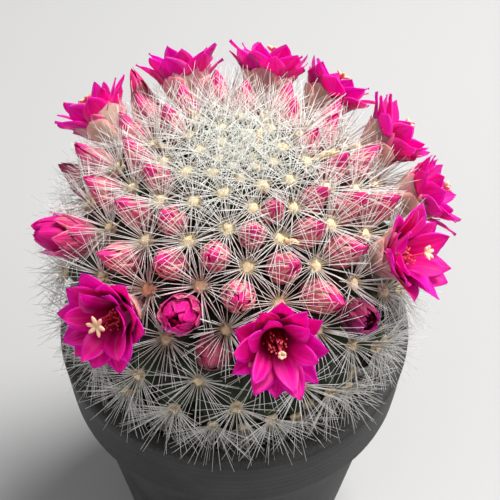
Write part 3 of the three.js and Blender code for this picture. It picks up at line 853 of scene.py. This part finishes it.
class StemSettings(bpy.types.PropertyGroup):
    """Body of the cactus"""

    skin_colour: colour_setting("Skin", "Colour of the tubercles", (0.015, 0.026, 0.008))
    # Near-black painted shade between the tubercles, also the colour of the darker mottle
    valley_shade_and_mottle: colour_setting("Valleys", "Colour between the tubercles", (0.004, 0.005, 0.002))
    top_colour: colour_setting("Tops", "Colour below the areoles", (0.08, 0.11, 0.04))


class SpineSettings(bpy.types.PropertyGroup):
    """Spines and wool of the areoles"""

    spines: count_setting("Spines", "Spines of a grown areole", 36, 3)
    centrals: count_setting("Centrals", "Upright spines of each areole", 7)
    crown_spines: count_setting("Crown spines", "Spines of the youngest areole", 22, 3)
    length: number_setting("Length", "Length in millimetres", 7.2)
    crown_length: number_setting("Crown length", "Shortest length in millimetres", 4.5)
    rise: angle_setting("Rise", "Angle above the surface", 30)
    crown_rise: angle_setting("Crown rise", "Angle of the youngest spines", 42)
    thickness: number_setting("Thickness", "Radius in millimetres", 0.08)
    spine_colour: colour_setting("Spines", "Colour of the spines", (0.93, 0.93, 0.86))
    foot_colour: colour_setting("Spine feet", "Colour at the wool", (0.8, 0.68, 0.42))
    # Grey of old spines, also standing in as painted shade on the lower spines
    old_and_shaded_colour: colour_setting("Grey spines", "Colour of dull spines", (0.6, 0.57, 0.54))
    wool_colour: colour_setting("Wool", "Colour of young wool", (0.76, 0.58, 0.27))
    # Lighter than young wool: partly real, partly painted light for the lower areoles that lie in shade
    old_and_lit_wool_colour: colour_setting("Old wool", "Colour of old wool", (0.86, 0.6, 0.34))
    wool_light: colour_setting("Wool light", "Colour of the tips of the wool", (0.93, 0.85, 0.6))
    dry_colour: colour_setting("Dry remains", "Colour of the remains of old flowers", (0.88, 0.63, 0.35))


class BloomSettings(bpy.types.PropertyGroup):
    """Flowers and buds"""

    heart: colour_setting("Petal", "Colour inside a flower", (0.86, 0.0, 0.2))
    edge: colour_setting("Petal edge", "Colour of the edges and tips", (0.6, 0.0, 0.33))
    throat: colour_setting("Throat", "Colour deep in a flower", (0.56, 0.0, 0.09))
    foot: colour_setting("Petal back", "Colour of the foot outside", (0.88, 0.3, 0.36))
    rib: colour_setting("Rib", "Colour of the middle rib outside", (0.5, 0.06, 0.1))
    pale: colour_setting("Pale", "Colour of pale margins", (0.88, 0.36, 0.42))
    sepal: colour_setting("Sepal", "Colour of the papery sepals", (0.9, 0.42, 0.35))
    sepal_tip: colour_setting("Sepal tip", "Colour of the upper half of a sepal", (0.92, 0.24, 0.36))
    sepal_rib: colour_setting("Sepal rib", "Colour of the middle rib of a sepal", (0.6, 0.16, 0.14))
    papery: colour_setting("Papery sepal", "Colour of the wide dry sepals of a flower", (0.9, 0.5, 0.36))
    cream: colour_setting("Cream", "Colour of the pale streaks of sepals and buds", (0.95, 0.55, 0.45))
    bud_foot: colour_setting("Bud foot", "Colour at the foot of a bud", (0.2, 0.04, 0.035))
    bud_flank: colour_setting("Bud flank", "Colour of a bud's side", (0.44, 0.045, 0.14))
    bud_warm: colour_setting("Warm scales", "Colour of a bud's warmer scales", (0.62, 0.13, 0.18))
    bud_tip: colour_setting("Bud tip", "Colour of a bud's tip", (0.72, 0.0, 0.19))
    spent: colour_setting("Spent", "Colour of a spent flower", (0.18, 0.008, 0.035))
    spent_pale: colour_setting("Spent streaks", "Colour of its pale parts", (0.34, 0.09, 0.13))
    stamen: colour_setting("Stamens", "Colour of the threads", (0.75, 0.06, 0.14))
    anther: colour_setting("Anthers", "Colour of the heads", (0.85, 0.12, 0.15))
    stigma: colour_setting("Stigma", "Colour of its lobes", (0.97, 0.6, 0.4))


SETTINGS = {
    "cactus_stage": StageSettings, "cactus_pot": PotSettings, "cactus_stem": StemSettings,
    "cactus_spines": SpineSettings, "cactus_blooms": BloomSettings,
}


# Operators, one for each piece or group of like pieces

class MakeStage(bpy.types.Operator):
    """Adds the pale floor, the soft lights and the camera"""

    bl_idname = "cactus.stage"
    bl_label = "Stage"

    def execute(self, context):
        settings = context.scene.cactus_stage
        shape = bmesh.new()
        bmesh.ops.create_circle(shape, cap_ends=True, segments=96, radius=FLOOR_RADIUS)
        paint = Paint("floor", base_color=settings.floor_colour, roughness=0.7)
        new_object("floor", shape, paint.material)
        middle = PLANT_CENTRE * MM
        for name, place, size, power in LIGHTS:
            self.add_light(context, name, place, size, getattr(settings, power), middle)
        self.light_room(context)
        self.add_camera(context, settings, middle)
        return {"FINISHED"}

    def add_light(self, context, name, place, size, power, target):
        data = bpy.data.lights.new(name, "AREA")
        data.shape = "DISK"
        data.size = size
        data.energy = power
        light = bpy.data.objects.new(name, data)
        light.location = place
        light.rotation_euler = (target - light.location).to_track_quat("-Z", "Y").to_euler()
        context.scene.collection.objects.link(light)

    def light_room(self, context):
        world = bpy.data.worlds.new("soft_room")
        world.use_nodes = True
        inputs = world.node_tree.nodes["Background"].inputs
        inputs["Color"].default_value = ROOM_COLOUR
        inputs["Strength"].default_value = ROOM_LIGHT
        context.scene.world = world
        context.scene.view_settings.view_transform = "Standard"

    def add_camera(self, context, settings, middle):
        data = bpy.data.cameras.new("camera")
        data.lens = settings.lens
        data.sensor_width = 36
        data.shift_x, data.shift_y = settings.shift
        data.clip_start = 0.01
        camera = bpy.data.objects.new("camera", data)
        back = Vector((0, -math.cos(settings.elevation), math.sin(settings.elevation)))
        camera.location = middle + back * settings.distance
        camera.rotation_euler = (math.pi / 2 - settings.elevation, 0, 0)
        context.scene.collection.objects.link(camera)
        context.scene.camera = camera


class MakePot(bpy.types.Operator):
    """Adds the clay pot with its collar and drain holes"""

    bl_idname = "cactus.pot"
    bl_label = "Pot"

    def execute(self, context):
        piece = Piece("clay_pot", "pot_clay", clay_paint(context.scene.cactus_pot))
        piece.add(turned(self.profile(), 112))
        self.drill(context, piece.finish("pot"))
        return {"FINISHED"}

    def profile(self):
        """Radii and heights up the outside, over the rim and down the inside"""
        rounds = [(math.cos(angle), math.sin(angle)) for angle in np.linspace(0, math.pi / 2, 5)]
        foot = POT_BASE_RADIUS - FOOT_ROUND
        collar = POT_HEIGHT - COLLAR_HEIGHT
        collar_radius = POT_RIM_RADIUS - COLLAR_TAPER
        wall = collar_radius - COLLAR_STEP
        edge = collar_radius - COLLAR_ROUND
        line = [(0, 0), (foot, 0)]
        line += [(foot + FOOT_ROUND * y, FOOT_ROUND - FOOT_ROUND * x) for x, y in rounds[1:]]
        for t in (0.25, 0.5, 0.75):
            line.append((part_way(POT_BASE_RADIUS, wall, t), FOOT_ROUND + (collar - 1.6) * t))
        line += [(wall, collar - 0.6), (wall + 0.3, collar - 0.25), (edge, collar)]
        line += [(edge + COLLAR_ROUND * y, collar + COLLAR_ROUND - COLLAR_ROUND * x) for x, y in rounds[1:]]
        line += [(collar_radius + COLLAR_TAPER * t, collar + COLLAR_HEIGHT * t) for t in (0.3, 0.6)]
        for x, y in rounds:
            line.append((POT_RIM_RADIUS - RIM_ROUND + RIM_ROUND * x, POT_HEIGHT - RIM_ROUND + RIM_ROUND * y))
        for x, y in rounds:
            height = POT_HEIGHT - MOUTH_ROUND + MOUTH_ROUND * x
            line.append((POT_MOUTH_RADIUS + MOUTH_ROUND - MOUTH_ROUND * y, height))
        line += [(POT_FLOOR_RADIUS, POT_FLOOR), (0, POT_FLOOR)]
        return line

    def drill(self, context, pot):
        """Drain holes, cut by a modifier that is then made part of the mesh"""
        shape = bmesh.new()
        radius = DRAIN_RADIUS * MM
        for number in range(DRAIN_HOLES):
            place = around((number / DRAIN_HOLES + 0.25) * TURN, DRAIN_AWAY * MM, POT_FLOOR / 2 * MM)
            bmesh.ops.create_cone(
                shape, cap_ends=True, segments=32, radius1=radius, radius2=radius, depth=2 * POT_FLOOR * MM,
                matrix=Matrix.Translation(place),
            )
        drill = new_object("drill", shape)
        cut = pot.modifiers.new("drain_holes", "BOOLEAN")
        cut.operation = "DIFFERENCE"
        cut.solver = "EXACT"
        cut.object = drill
        cut_mesh = bpy.data.meshes.new_from_object(pot.evaluated_get(context.evaluated_depsgraph_get()))
        pot.modifiers.clear()
        pot.data = cut_mesh
        bpy.data.objects.remove(drill)


class MakeSoil(bpy.types.Operator):
    """Adds the soil and the grit on it"""

    bl_idname = "cactus.soil"
    bl_label = "Soil and grit"

    def execute(self, context):
        settings = context.scene.cactus_pot
        edge = self.inside(SOIL_TOP)
        self.add_soil(settings, edge)
        self.add_grit(settings, edge)
        return {"FINISHED"}

    def add_soil(self, settings, edge):
        hole = PLANT_CENTRE.z + ROOT_BOTTOM - GAP
        lip = NECK_RADIUS + 0.9
        line = [(0, hole), (ROOT_RADIUS + GAP, hole), (lip - 0.2, SOIL_TOP - 0.2)]
        line += [(part_way(lip, edge, t), SOIL_TOP) for t in np.linspace(0, 1, 18)]
        line += [(self.inside(height), height) for height in (SOIL_TOP - 8, POT_FLOOR + GAP)]
        line += [(0, POT_FLOOR + GAP)]
        piece = Piece("soil_bed", "potting_soil", soil_paint(settings))
        piece.add(turned(line, 120), self.crumble)
        piece.finish("soil")

    def add_grit(self, settings, edge):
        chance = random.Random(11)
        piece = Piece("grit", "potting_soil", grit_paint(settings))
        for _ in range(settings.stones):
            radius = chance.choice(GRIT_RADII) * chance.uniform(0.8, 1.2)
            away = math.sqrt(chance.uniform(GRIT_INNER_RADIUS ** 2, (edge - 0.2 - radius) ** 2))
            spot = around(chance.uniform(0, TURN), away, SOIL_TOP)
            turn = chance.uniform(0, TURN)
            spin = Matrix.Rotation(turn, 4, (chance.random(), chance.random(), chance.random()))
            spot.z = float(self.crumble(np.array([spot]))[0][2]) + radius * 0.15
            stone = pebble(chance, radius, chance.uniform(0.6, 1.0), roughness=0.7)
            give(stone, stone.verts, shade=chance.random())
            piece.add(stone, partial(moved, matrix=Matrix.Translation(spot) @ spin))
        piece.finish()

    def inside(self, height):
        share = (height - POT_FLOOR) / (POT_HEIGHT - POT_FLOOR)
        return part_way(POT_FLOOR_RADIUS, POT_MOUTH_RADIUS, share) - GAP

    def crumble(self, points):
        """Lifts and lowers the top of the soil, and lets it fall a little to the pot"""
        result = points.copy()
        for i, (x, y, z) in enumerate(points):
            if z < SOIL_TOP - 0.3:
                continue
            fall = max(0, math.hypot(x, y) - 21) * 0.22
            lumps = noise.noise(Vector((x, y, 3)) * 0.35) * 0.45 + noise.noise(Vector((x, y, 9)) * 1.3) * 0.25
            result[i, 2] = min(z + lumps - fall, SOIL_TOP + 0.45)
        return result


class MakeStem(bpy.types.Operator):
    """Adds the green body with its tubercles, and the root in the soil"""

    bl_idname = "cactus.stem"
    bl_label = "Stem"

    def execute(self, context):
        piece = Piece("stem_body", "green_stem", skin_paint(context.scene.cactus_stem))
        piece.add(self.body())
        line = [(NECK_RADIUS, NECK_TOP + 3), (NECK_RADIUS, NECK_TOP), (ROOT_RADIUS, ROOT_BOTTOM)]
        root = turned([(0, NECK_TOP + 3), *smooth_line(line, 4), (0, ROOT_BOTTOM)], 48)
        piece.add(root, partial(moved, matrix=Matrix.Translation(PLANT_CENTRE) @ LEAN.to_4x4()))
        piece.finish("stem")
        return {"FINISHED"}

    def body(self):
        """A fine ball, sunk between its tubercles"""
        ways = np.array([direction(k) for k in range(TUBERCLES)])
        reach = np.array([VALLEY_REACH * spacing(k) / AREOLE_RADIUS for k in range(TUBERCLES)])
        depth = np.array([tubercle_height(k) for k in range(TUBERCLES)])
        shape = new_shape()
        bmesh.ops.create_icosphere(shape, subdivisions=7, radius=1)
        along = shape.verts.layers.float["along"]
        points = np.array([vert.co for vert in shape.verts])
        points /= np.linalg.norm(points, axis=1)[:, None]
        away = np.linalg.norm(points[:, None] - ways[None], axis=2)
        nearest = away.argmin(1)
        away = away[np.arange(len(points)), nearest] / reach[nearest]
        rise = np.clip(VALLEY_EDGE - away, 0, TUBERCLE_RISE) / TUBERCLE_RISE
        rise = rise * STRAIGHT_SHARE + rise ** 2 * (3 - 2 * rise) * ROUND_SHARE
        sunk = TUBERCLE_TOP + depth[nearest] * (1 - rise)
        for vert, way, down, up in zip(shape.verts, points, sunk, rise):
            vert.co = surface_point(Vector(way), 1 - down / AREOLE_RADIUS)
            vert.co.z = max(vert.co.z, BODY_UNDERSIDE)
            vert[along] = up
        return shape


class MakeSpines(bpy.types.Operator):
    """Adds the stars of spines, the wool in their middles and dry remains of old flowers"""

    bl_idname = "cactus.spines"
    bl_label = "Spines and wool"

    def execute(self, context):
        settings = context.scene.cactus_spines
        chance = np.random.default_rng(5)
        paint = spine_paint(settings)
        for name, first, last in SPINE_BANDS:
            piece = Piece(name, "spine", paint)
            for k in range(first, last):
                curves, radii = self.star(settings, k, chance)
                # Rises down the plant: the spines' age, and painted shade that greys the lower spines
                age_and_painted_light = 0.75 * k / SPINY_TUBERCLES + chance.uniform(0, 0.25)
                piece.add(*threads(curves, radii, steps=3, tip=0.3, shade=age_and_painted_light))
            piece.finish()
        self.add_wool(settings)
        self.add_dry_remains(settings)
        return {"FINISHED"}

    def star(self, settings, k, chance):
        """Curves and radii of one areole's spines, steered clear of the blooms, soil and pot"""
        young = max(0, 1 - k / CROWN_TUBERCLES)
        count = round(part_way(settings.spines, settings.crown_spines, young))
        length = part_way(settings.length, settings.crown_length, young)
        rise = part_way(settings.rise, settings.crown_rise, young)
        matrix = areole_matrix(k)
        foot = np.array(matrix.translation)
        near = [bloom for bloom in BLOOMS if np.linalg.norm(bloom.base - foot) < SPINE_REACH]
        turns = (np.arange(count) + chance.uniform(-0.35, 0.35, count)) * TURN / count
        lifts = rise + np.where(np.arange(count) % 2, 0.14, -0.14) + chance.uniform(-0.14, 0.14, count)
        centrals = round(settings.centrals * min(1, 0.3 + k / 50))
        turns = np.append(turns, np.arange(centrals) * TURN / centrals + k)
        lifts = np.append(lifts, chance.uniform(0.9, 1.25, centrals))
        count += centrals
        lengths = length * chance.uniform(0.86, 1.08, count)
        sags = chance.uniform(0.0, 0.09, count)
        best_share = np.full(count, -1.0)
        best = np.zeros((count, 3, 3))
        for steeper, aside in STEERING:
            steered = (turns + math.radians(aside), lifts + math.radians(steeper))
            curves = self.curves(matrix, *steered, lengths, sags)
            share = self.clear_share(curves, near)
            better = share > best_share + 0.01
            best[better] = curves[better]
            best_share[better] = share[better]
            if best_share.min() >= 1:
                break
        share = np.maximum(best_share, 0.2)[:, None]
        start, bend, end = best[:, 0], best[:, 1], best[:, 2]
        cut = [start, part_way(start, bend, share), curve_point(start, bend, end, share)]
        radii = settings.thickness * chance.uniform(0.75, 1.2, count) * (1 - 0.4 * young)
        return np.stack(cut, 1), radii

    def curves(self, matrix, turns, lifts, lengths, sags):
        lifts = np.minimum(lifts, STEEPEST_RISE)
        level = np.stack([np.cos(turns), np.sin(turns), np.zeros_like(turns)], 1)
        up = np.array((0.0, 0.0, 1.0))
        start = level * np.interp(lifts, (0.6, 1), (0.22, 0.6))[:, None] + up * 0.12
        run = level * np.cos(lifts)[:, None] + up * np.sin(lifts)[:, None]
        bend = start + run * lengths[:, None] * 0.5
        end = start + run * lengths[:, None] - up * (lengths * sags)[:, None]
        return np.stack([moved(points, matrix) for points in (start, bend, end)], 1)

    def clear_share(self, curves, near):
        """The share of each spine, from its foot, that touches nothing"""
        steps = np.linspace(0.1, 1, 10)[:, None, None]
        start, bend, end = (curves[None, :, i] for i in range(3))
        flat = curve_point(start, bend, end, steps).reshape(-1, 3)
        away = np.hypot(flat[:, 0], flat[:, 1])
        over_wall = away > POT_MOUTH_RADIUS - 0.6
        blocked = (flat[:, 2] < SOIL_TOP + 0.6) | ((flat[:, 2] < POT_HEIGHT + 0.3) & over_wall)
        for bloom in near:
            heights = (flat - bloom.base) @ bloom.axis
            distance = np.linalg.norm(flat - bloom.base - np.outer(heights, bloom.axis), axis=1)
            blocked |= (heights > -0.6) & (distance < bloom.radius_at(heights) + 0.1)
        blocked = blocked.reshape(len(steps), -1)
        first = np.where(blocked.any(0), blocked.argmax(0), len(steps))
        return first / len(steps)

    def add_wool(self, settings):
        chance = random.Random(3)
        piece = Piece("areole_wool", "wool", wool_paint(settings))
        for k in range(SPINY_TUBERCLES):
            size = min(0.9, 0.26 * spacing(k)) * chance.uniform(0.92, 1.08)
            # Rises down the plant: the wool's age, and painted light that lightens the lower tufts
            age_and_painted_light = min(1.0, max(0.0, (k - 10) / 110)) * 0.75 + chance.uniform(0, 0.25)
            matrix = areole_matrix(k)
            tuft = pebble(chance, size, 0.78, subdivisions=3, roughness=0.35)
            give(tuft, tuft.verts, shade=age_and_painted_light)
            piece.add(tuft, lambda points, matrix=matrix: moved(points + (0, 0, WOOL_LIFT), matrix))
            curves = []
            for _ in range(WOOL_THREADS):
                turn = chance.uniform(0, TURN)
                lift = chance.uniform(0.1, 1.4)
                level = around(turn) * math.cos(lift)
                run = level + Vector((0, 0, math.sin(lift) * 0.75))
                reach = size * chance.uniform(1.15, 1.7)
                points = [run * size * 0.6, run * reach * 0.8, run * reach + level * 0.1]
                curves.append([matrix @ point for point in points])
            piece.add(*threads(curves, [0.03] * WOOL_THREADS, steps=1, tip=0.3, shade=age_and_painted_light))
        piece.finish()

    def add_dry_remains(self, settings):
        chance = random.Random(21)
        piece = Piece("dry_remains", "spent_flower", plain_paint("dry_remains", settings.dry_colour, 0.8))
        for k, way, length, thickness in DRY_REMAINS:
            foot = surface_point(direction(k), 1)
            scrap = pebble(chance, 1, 1, subdivisions=3, roughness=0.9)
            give(scrap, scrap.verts, along=chance.uniform(0.3, 0.9))
            bmesh.ops.scale(scrap, vec=(thickness, thickness * 0.8, length * 0.55), verts=scrap.verts)
            turn = Vector(way).to_track_quat("Z", "X").to_matrix().to_4x4()
            matrix = Matrix.Translation(foot) @ turn @ Matrix.Translation((0, 0, length * 0.5))
            piece.add(scrap, lambda points, matrix=matrix: moved(self.crumple(points), matrix))
        piece.finish()

    def crumple(self, points):
        """Winds a scrap about its length"""
        height = points[:, 2]
        swing = np.stack([np.sin(height * 2.3), np.cos(height * 3.1), np.zeros(len(points))], 1)
        return points + swing * 0.14


class MakeFlowers(bpy.types.Operator):
    """Adds the open flowers, each with its tube, sepals and whorls of petals"""

    bl_idname = "cactus.flowers"
    bl_label = "Open flowers"

    def execute(self, context):
        settings = context.scene.cactus_blooms
        petals = flower_paint(settings, settings.throat, settings.edge)
        sepals = sepal_paint(settings, settings.sepal_tip)
        papery = sepal_paint(settings, settings.papery, glow=PAPER_GLOW)
        for number, bloom in enumerate(OPEN_BLOOMS, 1):
            chance = random.Random(100 + bloom.axil)
            piece = Piece(f"open_flower_{number:02d}", "petal", petals, sepals, papery)
            add_tube(piece, bloom, *OPEN_TUBE)
            for count, first, path, half_width, hollow in OPEN_SEPALS:
                add_whorl(piece, bloom, chance, count, first, path, half_width, hollow, 1)
            for count, first, path, half_width, hollow in OPEN_PETALS:
                add_whorl(piece, bloom, chance, count, first, path, half_width * bloom.petal_width, hollow)
            crown_side = (math.pi / 2 - bloom.axil * BLOOM_SPIN) / TURN
            for aside, height, half_width in PAPERY_SEPALS:
                path = ((1.1, 1.4), (2.7, 5.2), (4.6, height))
                add_whorl(
                    piece, bloom, chance, 1, crown_side + aside, path, half_width, (2, 4.4), 2, wild=0.3,
                    peak=0.7, bluntness=3.5,
                )
            piece.finish(f"flower_{number:02d}")
        return {"FINISHED"}


def add_stamens(piece, bloom, chance, count, tops, material):
    """Threads in a ring, each with its head; the threads have that material, the heads the next"""
    curves = []
    for number in range(count):
        level = around(number * 2.4)
        foot = chance.uniform(0.5, 1.3)
        top = foot * chance.uniform(0.8, 1.35)
        start = level * foot + Vector((0, 0, STAMEN_FOOT))
        bend = level * top * 1.15 + Vector((0, 0, STAMEN_BEND))
        end = level * top + Vector((0, 0, chance.uniform(*tops)))
        curves.append([bloom.matrix @ point for point in (start, bend, end)])
        anther = pebble(chance, 0.13, 1.3)
        give(anther, anther.verts, along=0.8)
        piece.add(anther, partial(moved, matrix=bloom.matrix @ Matrix.Translation(end)), material + 1)
    piece.add(*threads(curves, [0.055] * count, sides=4, steps=3, tip=0.6), material)


class MakePistils(bpy.types.Operator):
    """Adds the stamens, style and stigma of the open flowers"""

    bl_idname = "cactus.pistils"
    bl_label = "Stamens and stigmas"

    def execute(self, context):
        settings = context.scene.cactus_blooms
        thread = plain_paint("filament", settings.stamen, 0.4)
        head = plain_paint("anther", settings.anther, 0.7)
        cream = plain_paint("stigma", settings.stigma, 0.4, subsurface_weight=0.2, subsurface_scale=0.0004)
        for number, bloom in enumerate(OPEN_BLOOMS, 1):
            chance = random.Random(300 + bloom.axil)
            piece = Piece(f"stamens_{number:02d}", "stamens", thread, head, cream)
            add_stamens(piece, bloom, chance, STAMENS, STAMEN_TOPS, 0)
            self.add_style(piece, bloom, chance)
            piece.finish(f"pistil_{number:02d}")
        return {"FINISHED"}

    def add_style(self, piece, bloom, chance):
        """The style and the lobes of its stigma, lying flatter the wider they spread"""
        bend = Vector((chance.uniform(-0.5, 0.5), chance.uniform(-0.5, 0.5), 8.5))
        top = Vector((0, 0, STYLE_TOP))
        shape, lay = threads([[Vector((0, 0, STYLE_FOOT)), bend, top]], [0.2], sides=8, steps=6, tip=0.75)
        piece.add(shape, lambda points: moved(lay(points), bloom.matrix))
        reach = 0.36 + 0.36 * bloom.spread
        lobes = chance.choice((5, 6, 6))
        for number in range(lobes):
            turn = number / lobes * TURN + chance.uniform(-0.15, 0.15)
            lobe = pebble(chance, 1, 1, subdivisions=3, roughness=0.12)
            bmesh.ops.scale(lobe, vec=(0.24, 0.32, reach), verts=lobe.verts)
            give(lobe, lobe.verts, along=0.7)
            away = Matrix.Rotation(turn, 4, "Z") @ Matrix.Rotation(bloom.spread, 4, "Y")
            matrix = bloom.matrix @ Matrix.Translation(top) @ away @ Matrix.Translation((0, 0, reach * 0.9))
            piece.add(lobe, partial(moved, matrix=matrix), 2)


class MakeOpeningFlowers(bpy.types.Operator):
    """Adds the flowers that are half open"""

    bl_idname = "cactus.opening_flowers"
    bl_label = "Half open flowers"

    def execute(self, context):
        settings = context.scene.cactus_blooms
        for number, bloom in enumerate(OPENING_BLOOMS, 1):
            chance = random.Random(200 + bloom.axil)
            size = bloom.tall
            petals = flower_paint(settings, settings.heart, settings.heart, bloom.fading)
            sepals = sepal_paint(settings, settings.heart, bloom.fading)
            colours = faded(bloom.fading, settings.spent, settings.stamen, settings.anther)
            thread, head = (plain_paint(*pair, 0.5) for pair in zip(("filament", "anther"), colours))
            piece = Piece(f"half_open_flower_{number:02d}", "petal", petals, sepals, thread, head)
            add_stamens(piece, bloom, chance, OPENING_STAMENS, [top * size for top in OPENING_STAMEN_TOPS], 2)
            add_tube(piece, bloom, *OPENING_TUBE, size)
            gape = 0.55 + 0.45 * bloom.fading
            for whorls, tip_share, material in ((OPENING_SEPALS, 1, 1), (OPENING_PETALS, gape, 0)):
                for count, first, (foot, bend, (radius, height)), half_width in whorls:
                    path = sized((foot, bend, (radius * tip_share, height)), size, size)
                    add_whorl(
                        piece, bloom, chance, count, first, path, half_width * size, (1.9, 2.4), material,
                        wild=0.45, peak=0.5,
                    )
            piece.finish(f"opening_flower_{number:02d}")
        return {"FINISHED"}


class MakeBuds(bpy.types.Operator):
    """Adds the buds and the spent flowers, wrapped in their scales"""

    bl_idname = "cactus.buds"
    bl_label = "Buds and spent flowers"

    def execute(self, context):
        settings = context.scene.cactus_blooms
        paint = bud_paint(
            "bud", settings.bud_foot, settings.bud_flank, settings.bud_warm, settings.bud_tip, settings.cream
        )
        for number, bloom in enumerate(BUDS, 1):
            self.add_bud(f"closed_bud_{number:02d}", "bud", paint, bloom).finish(f"bud_{number:02d}")
        colours = (settings.rib, settings.heart, settings.foot, settings.heart)
        for number, bloom in enumerate(SPENT_BLOOMS, 1):
            sides = faded(bloom.fading, settings.spent, *colours)
            streak = faded(bloom.fading, settings.spent_pale, settings.cream)
            paint = bud_paint("spent_flower", *sides, *streak)
            piece = self.add_bud(f"faded_flower_{number:02d}", "spent_flower", paint, bloom)
            piece.finish(f"spent_flower_{number:02d}")
        return {"FINISHED"}

    def add_bud(self, name, slot, paint, bloom):
        chance = random.Random(400 + bloom.axil)
        piece = Piece(name, slot, paint)
        tall = bloom.tall
        wide = bloom.wide
        shape = turned(sized(BUD_CORE, wide, tall), 14)
        along = shape.verts.layers.float["along"]
        for vert in shape.verts:
            vert[along] = max(0, vert.co.z / tall)
        give(shape, shape.verts, shade=1)
        piece.add(shape, bloom.place)
        for count, first, path, half_width, shades in BUD_SCALES:
            path = sized(path, wide, tall)
            half_width = half_width * wide * SCALE_OVERLAP
            add_whorl(
                piece, bloom, chance, count, first, path, half_width, (0.75 * wide, 0.8 * wide),
                wild=0.16 * wide, peak=0.4, bluntness=1.7, fineness=(4, 8), shades=shades,
            )
        return piece


OPERATORS = (
    MakeStage, MakePot, MakeSoil, MakeStem, MakeSpines,
    MakeFlowers, MakePistils, MakeOpeningFlowers, MakeBuds,
)


class CactusPanel(bpy.types.Panel):
    """Lists the operators and their settings"""

    bl_idname = "VIEW3D_PT_cactus"
    bl_label = "Potted cactus"
    bl_space_type = "VIEW_3D"
    bl_region_type = "UI"
    bl_category = "Cactus"

    def draw(self, context):
        for operator in OPERATORS:
            self.layout.operator(operator.bl_idname)
        for name, settings in SETTINGS.items():
            box = self.layout.box()
            for setting in settings.__annotations__:
                box.prop(getattr(context.scene, name), setting)


CLASSES = (*SETTINGS.values(), *OPERATORS, CactusPanel)


def register():
    for item in CLASSES:
        bpy.utils.register_class(item)
    for name, settings in SETTINGS.items():
        setattr(bpy.types.Scene, name, PointerProperty(type=settings))


def unregister():
    for name in SETTINGS:
        delattr(bpy.types.Scene, name)
    for item in reversed(CLASSES):
        bpy.utils.unregister_class(item)


def main():
    register()
    for operator in OPERATORS:
        group, name = operator.bl_idname.split(".")
        getattr(getattr(bpy.ops, group), name)()


if __name__ == "__main__":
    main()
